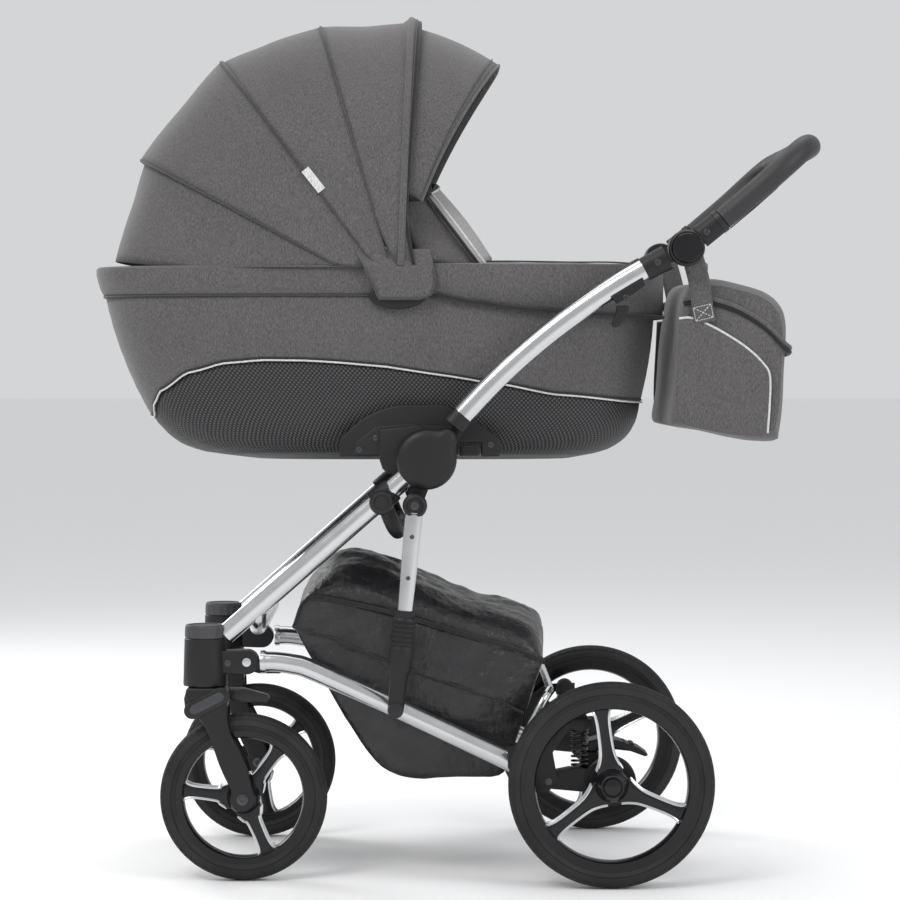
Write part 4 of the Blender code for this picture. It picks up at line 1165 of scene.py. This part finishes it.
def basket():
    """Crinkled nylon basket: a slung tub, a humped zipped cover and piping."""
    outline = [(-0.2360, 0.3640), (-0.2150, 0.3250), (-0.1860, 0.2760), (-0.1560, 0.2230),
               (-0.1240, 0.1740), (-0.0980, 0.1520), (-0.0620, 0.1435), (0.0000, 0.1445),
               (0.0600, 0.1475), (0.0760, 0.1780), (0.0960, 0.2300), (0.1120, 0.2800), (0.1240, 0.3150)]
    pts = [Vector((p.x, p.z)) for p in spline([(x, 0, z) for x, z in outline], 4)]
    middle = Vector((-0.050, 0.300))

    def half(z):
        return 0.166 + 0.019 * min(1.0, max(0.0, (z - 0.146) / 0.12))

    # The floor and the two ends are one sling; the side panels close it
    rows = []
    steps = 20
    for k in range(steps + 1):
        v = -1 + 2 * k / steps
        row = []
        for p in pts:
            droop = 0.006 * (1 - v * v) * (1 if p.y < 0.2 else 0.2)
            n = noise.noise(Vector((p.x * 14, v * 3.5, p.y * 14))) * 0.0040
            n += noise.noise(Vector((p.x * 34, v * 9.0, p.y * 34))) * 0.0016
            out = (p - middle).normalized()
            row.append((p.x + out.x * n, v * half(p.y), p.y + out.y * n - droop))
        rows.append(row)
    made = piece("basket_sling", grid(rows), "nylon", "chassis", ("basket",))
    thick(made, 0.0018)
    top = [(x, z + 0.004) for x, z in COVER_HEM]
    for name, s in SIDES.items():
        rows = []
        upper = [Vector((p.x, p.z)) for p in spline([(x, 0, z) for x, z in top], 6)]
        count = 48
        low = resample(pts, count)
        high = resample(upper, count)
        for k in range(15):
            t = k / 14
            row = []
            for a, b in zip(low, high):
                p = a.lerp(b, t)
                n = noise.noise(Vector((p.x * 11, s * 4.0, p.y * 16))) * 0.0060
                n += noise.noise(Vector((p.x * 30, s * 7.0, p.y * 36))) * 0.0030
                bulge = 0.0040 * math.sin(math.pi * t)
                fade = 1.0 if 0 < k < 14 else 0.0
                row.append((p.x, s * (half(p.y) + (n + bulge) * fade), p.y))
            rows.append(row)
        side = piece(f"basket_side_{name}", grid(rows), "nylon", "chassis")
        thick(side, 0.0016)
        line = [(-0.238, 0.366), (-0.185, 0.350), (-0.120, 0.322), (-0.070, 0.304), (-0.030, 0.288),
                (0.050, 0.262), (0.095, 0.240)]
        path = [(p.x, s * (half(p.z) + 0.0062), p.z) for p in spline([(x, 0, z) for x, z in line], 6)]
        piece(f"basket_piping_{name}", rope(path, 0.0022, 8), "binding", "chassis")
    cover()


def resample(points, count):
    """Evenly spaced points on a line."""
    lengths = [0.0]
    for a, b in zip(points, points[1:]):
        lengths.append(lengths[-1] + (b - a).length)
    out = []
    for k in range(count):
        d = lengths[-1] * k / (count - 1)
        i = max(0, min(len(points) - 2, next((j for j, v in enumerate(lengths) if v > d), len(points)) - 1))
        span = lengths[i + 1] - lengths[i]
        t = (d - lengths[i]) / span if span else 0.0
        out.append(points[i].lerp(points[i + 1], min(1.0, t)))
    return out


def cover():
    """The soft lid, with a zip along each side."""
    crest = [(-0.2360, 0.3700), (-0.2280, 0.4060), (-0.2050, 0.4380), (-0.1780, 0.4620),
             (-0.1450, 0.4640), (-0.1050, 0.4520), (-0.0450, 0.4330), (0.0100, 0.4110), (0.0600, 0.3960),
             (0.1000, 0.3820), (0.1260, 0.3620), (0.1300, 0.3400), (0.1260, 0.3150)]
    line = resample([Vector((p.x, p.z)) for p in spline([(x, 0, z) for x, z in crest], 5)], 64)
    hem = [Vector((p.x, p.z)) for p in spline([(x, 0, z) for x, z in COVER_HEM], 6)]
    low = resample(hem, 64)
    rows = []
    steps = 40
    for k in range(steps + 1):
        v = -1 + 2 * k / steps
        row = []
        for a, b in zip(low, line):
            t = (1 - abs(v) ** 3.0)
            p = a.lerp(b, t ** 0.55)
            n = noise.noise(Vector((p.x * 13, v * 4.5, 2.0))) * 0.0075
            n += noise.noise(Vector((p.x * 34, v * 11.0, 5.0))) * 0.0034
            n += noise.noise(Vector((p.x * 70, v * 26.0, 9.0))) * 0.0012
            dip = 0.010 * (1 - v * v) * math.sin(math.pi * min(1.0, max(0.0, (p.x + 0.10) / 0.22)))
            row.append((p.x, v * 0.1865, p.y + n * t - dip * t))
        rows.append(row)
    made = piece("basket_lid", grid(rows), "nylon", "chassis", ("basket_cover",))
    thick(made, 0.0016)
    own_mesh(made)
    for name, s in SIDES.items():
        path = thinned([Vector((p.x, s * 0.1885, p.y - 0.001)) for p in low], 0.006)
        zipper = piece(f"basket_zip_{name}", rope(path, 0.0034, 8, 0.6), "binding", "chassis")
        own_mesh(zipper)


# Tubes --------------------------------------------------------------------------------
def oval_tube(points, half_z, half_y, sides=28, bm=None):
    return rope(points, half_z, sides, half_y / half_z, bm)


def screw(centre, y, side, radius=0.0042, bm=None, depth=0.0016):
    """A socket-head screw in a dished seat."""
    prof = [(radius * 1.35, 0.0), (radius * 1.30, depth * 0.5), (radius, depth * 0.6), (radius, depth),
            (radius * 0.85, depth * 1.15), (radius * 0.5, depth * 1.15), (radius * 0.42, depth * 0.3),
            (0.0002, depth * 0.25)]
    return lathe(centre, y,
                 [(0.0002, -0.001)] + [(radius * 1.35, -0.001)] + [(r, side * v) for r, v in prof], 24, bm)


def handle_curve(t):
    start, end = FOLD, ANGLE
    chord = end - start
    normal = Vector((-chord.y, chord.x)).normalized()
    return start + chord * t + normal * 0.030 * 4 * t * (1 - t)


def rails_and_legs():
    for name, s in SIDES.items():
        path = [(-0.2840, 0.3170), (-0.262, 0.3168), (-0.238, 0.3135), (-0.212, 0.306), (-0.130, 0.2689),
                (-0.050, 0.2314), (0.030, 0.1941), (0.1065, 0.1583)]
        pts = spline([(x, s * RAIL_Y, z) for x, z in path], 6)
        piece(f"rail_tube_{name}", oval_tube(pts, 0.0147, 0.0147), "chrome", "chassis", (f"rail_{name}",))
        weld = lathe((0, 0), 0,
                     [(0.0002, 0), (0.0162, 0), (0.0168, 0.004), (0.0162, 0.008), (0.0002, 0.008)], 28)
        bmesh.ops.rotate(weld, verts=weld.verts, cent=(0, 0, 0),
                         matrix=Vector((0, 1, 0)).rotation_difference(Vector((1, 0, 0))).to_matrix())
        bmesh.ops.translate(weld, verts=weld.verts, vec=(-0.2845, s * RAIL_Y, 0.3170))
        piece(f"rail_weld_{name}", weld, "chrome", "chassis")
        foot = Vector((-0.3350, 0.3560))
        top = FOLD + (foot - FOLD).normalized() * 0.030
        ends = [(top.x, s * TUBE_Y, top.y), ((top.x + foot.x) / 2, s * 0.2155, (top.y + foot.y) / 2),
                (foot.x, s * 0.1990, foot.y)]
        piece(f"leg_tube_{name}", oval_tube(spline(ends, 6), 0.0150, 0.0107), "chrome", "legs",
              (f"leg_{name}",))
        # handle tube
        pts = [handle_curve(0.16 + (0.875 - 0.16) * i / 40) for i in range(41)]
        bm = oval_tube([(p.x, s * TUBE_Y, p.y) for p in pts], 0.0150, 0.0107)
        piece(f"handle_chrome_{name}", bm, "chrome", "handle", (f"handle_tube_{name}",))
        pts = [handle_curve(0.128 + (0.168 - 0.128) * i / 6) for i in range(7)]
        bm = rope([(p.x, s * TUBE_Y, p.y) for p in pts], lambda t: 0.0174 - 0.0010 * t, 28, 0.70)
        piece(f"handle_sleeve_{name}", bm, "plastic", "handle")
        crank(name, s)


def crank(name, s):
    """Plate that turns on the fold pivot and carries the strut's pin."""
    px, pz = FOLD
    cx, cz = CRANK_PIN
    web = [(px - 0.016, pz + 0.012), (px - 0.002, pz + 0.022), (px + 0.038, pz + 0.048),
           (px + 0.052, pz + 0.036), (px + 0.020, pz - 0.006), (px + 0.010, pz - 0.025)]
    web += arc((cx, cz), 0.0118, 10, -190, 9) + [(px - 0.020, pz - 0.022)]
    made = piece(f"crank_plate_{name}", slab(web, s * 0.2165, s * 0.2206), "plastic", "handle")
    bevelled(made, 0.0008, 2)
    bm = lathe((cx, cz), s * 0.2180,
               [(0.0002, 0.0), (0.0082, 0.0), (0.0082, s * 0.0330), (0.0002, s * 0.0330)], 32)
    piece(f"crank_pin_{name}", bm, "steel", "handle")


def trigger(name, s):
    """Housing clamped under the handle tube, and the finger lever in it."""
    tx, tz = joint_place(f"fold_trigger_{name}_pull")
    y = s * TUBE_Y
    a, b = handle_curve(0.735), handle_curve(0.845)
    way = (b - a).normalized()
    down = Vector((way.y, -way.x))
    t = Vector((tx, tz))
    corners = [a + down * 0.0100, b + down * 0.0100, b + down * 0.0205 - way * 0.003]
    corners += [t + way * 0.0125 - down * 0.003, t - way * 0.0125 - down * 0.003,
                a + down * 0.0215 + way * 0.004]
    made = piece(f"trigger_case_{name}", slab([tuple(c) for c in corners], y - 0.0106, y + 0.0106),
                 "plastic", "handle")
    bevelled(made, 0.0024, 4)
    bm = screw((tx + 0.004, tz + 0.0075), y + s * 0.0106, s, 0.0036)
    piece(f"trigger_screw_{name}", bm, "steel", "handle")
    lever = [(tx - 0.0090, tz - 0.0040), (tx + 0.0090, tz - 0.0040), (tx + 0.0078, tz - 0.0120),
             (tx + 0.0020, tz - 0.0220), (tx - 0.0050, tz - 0.0330), (tx - 0.0100, tz - 0.0358),
             (tx - 0.0150, tz - 0.0340), (tx - 0.0160, tz - 0.0290), (tx - 0.0120, tz - 0.0200),
             (tx - 0.0095, tz - 0.0120)]
    made = piece(f"trigger_lever_{name}", slab(lever, y - 0.0088, y + 0.0088), "satin",
                 f"fold_trigger_{name}", (f"fold_trigger_{name}",))
    bevelled(made, 0.0026, 4)


def fold_cover(name, s):
    """Pear-shaped cover: a domed disc that runs out into a lobe."""
    px, pz = FOLD
    lobe = Vector((px + 0.0297, pz + 0.0297))
    outline = arc((px, pz), 0.0435, 78, 372, 34) + arc(lobe, 0.0150, -32, 122, 12)
    rows = []
    for size, y in ((1.0, 0.2233), (1.0, 0.2375), (0.985, 0.2420), (0.945, 0.2462), (0.87, 0.2486),
                    (0.70, 0.2500), (0.40, 0.2508), (0.02, 0.2510)):
        rows.append([(px + (x - px) * size, s * y, pz + (z - pz) * size) for x, z in outline])
    piece(f"fold_cover_shell_{name}", grid(rows, wrap=True, caps=True), "plastic", "legs",
          (f"fold_cover_{name}",), smooth=60.0)


def angle_joint(name, s):
    """Round joint with a glossy push button, and sleeves on the tubes either side."""
    jx, jz = ANGLE
    bm = lathe((jx, jz), s * 0.2185, [(0.0002, 0.0), (0.0245, 0.0), (0.0258, s * 0.002),
                                      (0.0258, s * 0.0262), (0.0240, s * 0.0290), (0.0226, s * 0.0296),
                                      (0.0222, s * 0.0235), (0.0002, s * 0.0235)], 56)
    piece(f"angle_case_{name}", bm, "satin", "handle", (f"angle_joint_{name}",))
    bm = lathe((jx, jz), s * 0.2462, [(0.0002, 0.0), (0.0212, 0.0), (0.0212, s * 0.0078),
                                      (0.0196, s * 0.0094), (0.0100, s * 0.0102), (0.0002, s * 0.0103)],
               56)
    piece(f"angle_cap_{name}", bm, "gloss", f"angle_button_{name}", (f"angle_button_{name}",))
    pts = [handle_curve(0.862 + (0.938 - 0.862) * i / 8) for i in range(9)]
    bm = rope([(p.x, s * TUBE_Y, p.y) for p in pts], lambda t: 0.0172 + 0.0010 * t, 28, 0.72)
    piece(f"angle_sleeve_{name}", bm, "plastic", "handle")
    way = Vector((0.190, 0.1525)).normalized()
    c = ANGLE + way * 0.036
    d = handle_curve(0.905)
    piece(f"lower_sleeve_screw_{name}", screw((d.x, d.y), s * (TUBE_Y + 0.0126), s, 0.0038), "steel",
          "handle")
    piece(f"upper_sleeve_screw_{name}", screw((c.x, c.y), s * (TUBE_Y + 0.0122), s, 0.0038), "steel",
          "handlebar")


def grip_route():
    jx, jz = ANGLE
    return [(jx + 0.0200, TUBE_Y, jz + 0.0160), (jx + 0.052, TUBE_Y, jz + 0.0415),
            (jx + 0.105, 0.2315, jz + 0.0860), (jx + 0.144, 0.2270, jz + 0.1210),
            (jx + 0.168, 0.2080, jz + 0.1420), (jx + 0.182, 0.1750, jz + 0.1500),
            (jx + 0.188, 0.1200, jz + 0.1520), (jx + 0.190, 0.0, jz + 0.1525)]


def handlebar():
    half = spline(grip_route(), 10)
    pivot_at = Vector((ANGLE.x, TUBE_Y, ANGLE.y))
    low = [p for p in half if (p - pivot_at).length < 0.0660]
    high = [p for p in half if (p - pivot_at).length >= 0.0640]
    for name, s in SIDES.items():
        bm = rope([(p.x, s * p.y, p.z) for p in low], lambda t: 0.0172 - 0.0004 * t, 28, 0.72)
        piece(f"bar_sleeve_{name}", bm, "plastic", "handlebar")
        collar = [low[-1] + (low[-1] - low[-2]).normalized() * d for d in (-0.004, 0.0, 0.004)]
        bm = rope([(p.x, s * p.y, p.z) for p in collar], 0.0178, 28, 0.78)
        piece(f"grip_collar_{name}", bm, "satin", "handlebar")
    full = [Vector((p.x, -p.y, p.z)) for p in high] + [p for p in reversed(high[:-1])]

    def size(t):
        return 0.0158 + 0.0014 * min(1.0, min(t, 1 - t) / 0.18)

    piece("grip_cover", rope(full, size, 32, 0.94), "grip", "handlebar", ("handlebar",))
    seam = []
    for a, b in zip(full, full[1:]):
        along = (b - a).normalized()
        inward = Vector((-0.62, 0.0, -0.78))
        inward = (inward - along * inward.dot(along)).normalized()
        seam.append(a + inward * 0.0170)
    piece("grip_seam", rope(thinned(seam, 0.006), 0.0009, 6), "binding", "handlebar")


# Struts and forks ---------------------------------------------------------------------
def strut(name, s):
    """A chrome rod with rivets over a black ribbed sleeve."""
    top, foot = CRANK_PIN, FOOT
    way = (foot - top).normalized()
    normal = Vector((-way.y, way.x))
    length = (foot - top).length
    y = s * STRUT_Y

    def run(stations, sides=24, flat=0.74):
        rows = []
        for d, r in stations:
            p = top + way * d
            turn = turns(sides)
            rows.append([(p.x + normal.x * r * math.cos(t), y + r * flat * math.sin(t),
                          p.y + normal.y * r * math.cos(t)) for t in turn])
        return grid(rows, wrap=True, caps=True)

    body = "struts"
    piece(f"strut_rod_{name}", run([(0.010, 0.0128), (0.06, 0.0122), (0.110, 0.0112), (0.160, 0.0108)]),
          "chrome", body, (f"strut_{name}",))
    ribs = [(0.1500, 0.0140), (0.1510, 0.0156), (0.1585, 0.0160), (0.1600, 0.0150)]
    for k in range(6):
        d = 0.1615 + k * 0.0068
        ribs += [(d, 0.0166), (d + 0.0042, 0.0168), (d + 0.0048, 0.0156), (d + 0.0062, 0.0156)]
    ribs += [(0.2040, 0.0168), (0.2060, 0.0172), (0.2340, 0.0168), (0.2380, 0.0150), (0.2460, 0.0126),
             (length - 0.004, 0.0118), (length + 0.004, 0.0105)]
    piece(f"strut_sleeve_{name}", run(ribs), "plastic", body)
    bm = lathe((top.x, top.y), s * 0.2517, [(0.0002, 0.0), (0.0172, 0.0), (0.0176, s * 0.003),
                                            (0.0176, s * 0.0150), (0.0160, s * 0.0190),
                                            (0.0120, s * 0.0204), (0.0110, s * 0.0190),
                                            (0.0002, s * 0.0190)], 44)
    piece(f"strut_eye_{name}", bm, "plastic", body)
    piece(f"strut_eye_screw_{name}", screw(tuple(top), s * 0.2707, s, 0.0046), "steel", body)
    bm = lathe(tuple(foot), s * 0.2202, [(0.0002, 0.0), (0.0116, 0.0), (0.0116, s * 0.0480),
                                         (0.0106, s * 0.0530), (0.0080, s * 0.0540),
                                         (0.0002, s * 0.0540)], 36)
    piece(f"strut_foot_boss_{name}", bm, "satin", body)
    rivets = bmesh.new()
    for d in (0.044, 0.103):
        p = top + way * d
        lathe(tuple(p), y + s * 0.0088,
              [(0.0002, 0.0), (0.0034, 0.0), (0.0032, s * 0.0012), (0.0018, s * 0.0020),
               (0.0002, s * 0.0022)], 16, rivets)
    piece(f"strut_rivets_{name}", rivets, "steel", body)


def fork(name, s):
    """Caster fork: a cover with a blank badge, two arms, an axle bolt and a swivel lock."""
    wx, wz = FRONT_WHEEL
    cx, y = CASTER_X, s * CASTER_Y
    body = f"fork_{name}"
    arm = spline([(cx + 0.0330, 0, 0.2560), (cx + 0.0370, 0, 0.2200), (wx + 0.0050, 0, 0.1700),
                  (wx + 0.0150, 0, 0.1330)], 6)
    outline = [(p.x, p.z) for p in arm] + arc((wx, wz), 0.0178, 20, -200, 16)
    back = spline([(wx - 0.0160, 0, 0.1330), (wx - 0.0330, 0, 0.1700), (cx + 0.0040, 0, 0.2200),
                   (cx - 0.0200, 0, 0.2540)], 6)
    outline += [(p.x, p.z) for p in back] + [(cx - 0.0270, 0.2700), (cx - 0.0250, 0.2812),
            (cx + 0.0300, 0.2812), (cx + 0.0325, 0.2700)]
    bm = slab(outline, y + 0.0246, y + 0.0335)
    slab(outline, y - 0.0246, y - 0.0335, bm)
    made = piece(f"fork_arms_{name}", bm, "plastic", body, (f"fork_{name}",))
    bevelled(made, 0.0030, 4)
    top = [(cx - 0.0275, 0.2500), (cx - 0.0290, 0.2660), (cx - 0.0250, 0.2813), (cx + 0.0300, 0.2813),
           (cx + 0.0330, 0.2660), (cx + 0.0320, 0.2500),
           (cx + 0.0200, 0.2445), (cx - 0.0150, 0.2445)]
    made = piece(f"fork_yoke_{name}", slab(top, y - 0.0300, y + 0.0300), "plastic", body)
    bevelled(made, 0.0040, 4)
    c = Vector((cx + 0.0045, 0.2600))
    d = Vector((math.cos(math.radians(27)), math.sin(math.radians(27))))
    n = Vector((-d.y, d.x))

    def capsule(half_long, half_wide):
        pts = []
        for k in range(12):
            t = math.radians(-90 + 180 * k / 11)
            pts.append(c + d * (half_long + half_wide * math.cos(t)) + n * half_wide * math.sin(t))
        for k in range(12):
            t = math.radians(90 + 180 * k / 11)
            pts.append(c + d * (-half_long + half_wide * math.cos(t)) + n * half_wide * math.sin(t))
        return [tuple(p) for p in pts]

    for tag, mat, size, depth in (("plate", "satin", (0.0235, 0.0120), 0.0362),
                                  ("badge", "badge", (0.0200, 0.0068), 0.0374)):
        made = piece(f"fork_{tag}_{name}", slab(capsule(*size), y + s * 0.0320, y + s * depth), mat, body)
        bevelled(made, 0.0007, 3)
    bolt = bmesh.new()
    for side in (-1, 1):
        screw((wx, wz), y + side * 0.0335, side, 0.0062, bolt, 0.0030)
    piece(f"fork_axle_bolt_{name}", bolt, "steel", body)
    tip = arc((cx + 0.0860, 0.2640), 0.0060, 60, -110, 8)
    tongue = [(cx + 0.0345, 0.2640), (cx + 0.0345, 0.2790), (cx + 0.0560, 0.2785),
              (cx + 0.0740, 0.2735)] + tip + [(cx + 0.0560, 0.2585)]
    made = piece(f"swivel_lock_lever_{name}", slab(tongue, y - 0.0115, y + 0.0115), "satin",
                 f"swivel_lock_{name}", (f"swivel_lock_{name}",))
    bevelled(made, 0.0022, 3)


def housing(name, s):
    """Caster housing with a fluted grey cap, and the bracket for the rail's pivot."""
    cx, y = CASTER_X, s * CASTER_Y
    bm = upright(cx, y, [(0.2825, 0.0290), (0.2828, 0.0312), (0.2850, 0.0320), (0.3000, 0.0314),
                         (0.3500, 0.0300), (0.3515, 0.0284), (0.3525, 0.0284)], 48)
    piece(f"housing_body_{name}", bm, "plastic", "legs", (f"caster_housing_{name}",))
    rows = []
    for z, r, flute in ((0.3520, 0.0276, 0), (0.3524, 0.0292, 0.0), (0.3560, 0.0296, 0.0012),
                        (0.3630, 0.0295, 0.0012), (0.3660, 0.0290, 0.0),
                        (0.3690, 0.0286, 0.0), (0.3706, 0.0272, 0.0), (0.3708, 0.0235, 0.0),
                        (0.3696, 0.0228, 0.0), (0.3696, 0.0004, 0.0)):
        row = []
        for t in turns(96):
            rr = r - flute * (0.5 + 0.5 * math.cos(16 * t))
            row.append((cx + rr * math.cos(t), y + rr * math.sin(t), z))
        rows.append(row)
    piece(f"housing_cap_{name}", grid(rows, wrap=True, caps=True), "cap", "legs")
    fx, fz = FRONT
    outline = [(cx + 0.012, fz - 0.0160), (fx - 0.004, fz - 0.0176)]
    outline += arc((fx, fz), 0.0176, -80, 80, 14)
    outline += [(fx - 0.004, fz + 0.0176), (cx + 0.012, fz + 0.0160)]
    y0, y1 = sorted((y - s * 0.011, y + s * 0.0168))
    made = piece(f"housing_bracket_{name}", slab(outline, y0, y1), "plastic", "legs")
    bevelled(made, 0.0020, 3)
    bm = screw((fx, fz), y + s * 0.0168, s, 0.0046)
    piece(f"housing_rivet_{name}", bm, "chrome", "legs")
    piece(f"housing_screw_{name}", screw((fx - 0.0270, fz - 0.001), y + s * 0.0168, s, 0.0036), "steel",
          "legs")


def cross_members():
    half = [(-0.2885, 0.2010, 0.3960), (-0.2890, 0.1960, 0.3800), (-0.2895, 0.1780, 0.3680),
            (-0.2895, 0.1400, 0.3660)]
    pts = [(x, -y, z) for x, y, z in half] + [(x, y, z) for x, y, z in reversed(half)]
    piece("front_cross_tube_skin", rope(spline(pts, 8), 0.0125, 28), "chrome", "legs",
          ("front_cross_tube",))
    half = [(-0.1060, 0.2060, 0.5600), (-0.1050, 0.2040, 0.5450), (-0.0990, 0.2000, 0.5270),
            (-0.0920, 0.1930, 0.5110), (-0.0865, 0.1760, 0.5030),
            (-0.0855, 0.1400, 0.5010), (-0.0855, 0.0, 0.5005)]
    whole = [(x, -y0, z) for x, y0, z in half] + [(x, y0, z) for x, y0, z in reversed(half[:-1])]
    piece("cross_brace_bar", rope(spline(whole, 6), 0.0110, 20, 0.82), "plastic", "legs", ("cross_brace",))
    foot = Vector((-0.3215, 0.3678))
    axis = (foot - FOLD).normalized()
    for name, s in SIDES.items():
        c = Vector((-0.1060, 0.5565))
        spots = [c + axis * d for d in (-0.017, -0.016, -0.010, 0.010, 0.016, 0.017)]
        sizes = (0.0168, 0.0180, 0.0186, 0.0186, 0.0180, 0.0168)
        rows = []
        normal = Vector((-axis.y, axis.x))
        for p, r in zip(spots, sizes):
            yy = s * (TUBE_Y - 0.034 * (p - FOLD).length / 0.388)
            rows.append([(p.x + normal.x * r * math.cos(t), yy + r * 0.72 * math.sin(t),
                          p.y + normal.y * r * math.cos(t))
                         for t in turns(28)])
        piece(f"brace_collar_{name}", grid(rows, wrap=True, caps=True), "plastic", "legs")
        k = c + axis * 0.008 - normal * (0.004 if normal.y > 0 else -0.004)
        bm = lathe((k.x, k.y), s * 0.2330, [(0.0002, 0.0), (0.0175, 0.0), (0.0175, s * 0.0080),
                                            (0.0160, s * 0.0105), (0.0110, s * 0.0112),
                                            (0.0098, s * 0.0098), (0.0002, s * 0.0098)], 40)
        piece(f"brace_knob_{name}", bm, "satin", "legs")


def rear_axle():
    refined("rear_axle", "rear_axle", "plastic", 0.0016)
    refined("brake_pedal", "brake", "satin", 0.0026)
    pads = bmesh.new()
    for k in range(4):
        x = 0.2120 + k * 0.0125
        slab([(x, 0.2045 - k * 0.0026), (x + 0.006, 0.2040 - k * 0.0030), (x + 0.006, 0.2058 - k * 0.0030),
              (x, 0.2062 - k * 0.0026)], -0.2040, -0.1640, pads)
    piece("brake_pedal_ribs", pads, "rubber", "brake")
    for name, s in SIDES.items():
        refined(f"rear_bracket_{name}", "chassis", "plastic", 0.0016)
        fixings = bmesh.new()
        for spot in ((0.0925, 0.1760), (0.1300, 0.1480), (0.1300, 0.2140)):
            screw(spot, s * 0.2405, s, 0.0036, fixings)
        piece(f"rear_bracket_screws_{name}", fixings, "steel", "chassis")
        coils, low, high, radius = 8.5, 0.1672, SPRING_TOP, 0.0114
        path = []
        for i in range(int(coils * 24) + 1):
            t = 2 * math.pi * i / 24
            share = i / (coils * 24)
            rise = share - 0.035 * math.sin(2 * math.pi * share)
            path.append((SPRING_X + radius * math.cos(t), s * SPRING_Y + radius * math.sin(t),
                         low + (high - low) * rise))
        coil = piece(f"spring_coil_{name}", rope(path, 0.0017, 8), "steel", "chassis", (f"spring_{name}",))
        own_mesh(coil)
        cap = upright(SPRING_X, s * SPRING_Y,
                      [(0.2215, 0.0020), (0.2215, 0.0138), (0.2250, 0.0146), (0.2300, 0.0140),
                       (0.2350, 0.0110), (0.2375, 0.0060), (0.2380, 0.0004)], 36)
        piece(f"spring_cap_{name}", cap, "rubber", "chassis")
        bm = lathe(REAR_WHEEL, s * 0.2300, [(0.0002, 0.0), (0.0340, 0.0), (0.0372, s * 0.002),
                                            (0.0372, s * 0.0110), (0.0350, s * 0.0125),
                                            (0.0290, s * 0.0118), (0.0002, s * 0.0118)], 48)
        piece(f"brake_drum_{name}", bm, "satin", "rear_axle")
    piece("hoop_tube", rope(spline([tuple(p) for p in hoop_path()], 5), 0.0056, 16), "chrome", "chassis",
          ("basket_hoop",))


def hoop_path():
    half = [(0.088, 0.1915, 0.1880), (0.106, 0.1925, 0.2250), (0.122, 0.1900, 0.2560),
            (0.131, 0.1780, 0.2700), (0.134, 0.1550, 0.2760)]
    return [(x, -y, z) for x, y, z in half] + [(x, y, z) for x, y, z in reversed(half)]


def cot_fittings():
    for name, s in SIDES.items():
        refined(f"cradle_{name}", "legs", "plastic", 0.0022)
        outline = [(-0.171, 0.6130), (-0.171, 0.6350)]
        outline += [(p.x, p.z) for p in spline([(-0.171, 0, 0.6380), (-0.134, 0, 0.6700),
                (-0.091, 0, 0.6865), (-0.055, 0, 0.6875), (-0.018, 0, 0.6860), (0.025, 0, 0.6640),
                (0.0615, 0, 0.6380)], 5)]
        outline += [(0.0615, 0.6130), (0.0340, 0.6130), (0.0340, 0.6330), (0.0000, 0.6330),
                    (0.0000, 0.6130)]
        y0, y1 = sorted((s * 0.1780, s * 0.2010))
        made = piece(f"bracket_shell_{name}", slab(outline, y0, y1), "plastic", "cot",
                     (f"cot_bracket_{name}",))
        bevelled(made, 0.0030, 4)
        inner = [(-0.152, 0.6160), (-0.148, 0.6330), (-0.118, 0.6560), (-0.075, 0.6600), (-0.010, 0.6560),
                 (-0.004, 0.6380), (-0.004, 0.6160)]
        y0, y1 = sorted((s * 0.2000, s * 0.2028))
        made = piece(f"bracket_plate_{name}", slab(inner, y0, y1), "satin", "cot")
        bevelled(made, 0.0012, 3)
        fixings = bmesh.new()
        for spot in ((-0.142, 0.6230), (-0.118, 0.6400), (0.0480, 0.6300)):
            screw(spot, s * 0.2028 if spot[0] < 0 else s * 0.2010, s, 0.0034, fixings)
        piece(f"bracket_screws_{name}", fixings, "steel", "cot")
        ribs = bmesh.new()
        for k in range(4):
            z = 0.6165 + k * 0.0034
            y0, y1 = sorted((s * 0.2026, s * 0.2040))
            slab([(0.0050, z), (0.0290, z), (0.0290, z + 0.0018), (0.0050, z + 0.0018)], y0, y1, ribs)
        piece(f"latch_ribs_{name}", ribs, "satin", f"cot_latch_{name}")
        refined(f"cot_latch_{name}", f"cot_latch_{name}", "satin", 0.0012)


def build():
    stage()
    wheels()
    carrycot()
    mattress()
    apron()
    windscreen()
    hood()
    visor()
    hood_extras()
    bag()
    basket()
    rails_and_legs()
    handlebar()
    cross_members()
    rear_axle()
    cot_fittings()
    for name, s in SIDES.items():
        trigger(name, s)
        fold_cover(name, s)
        angle_joint(name, s)
        strut(name, s)
        fork(name, s)
        housing(name, s)


build()
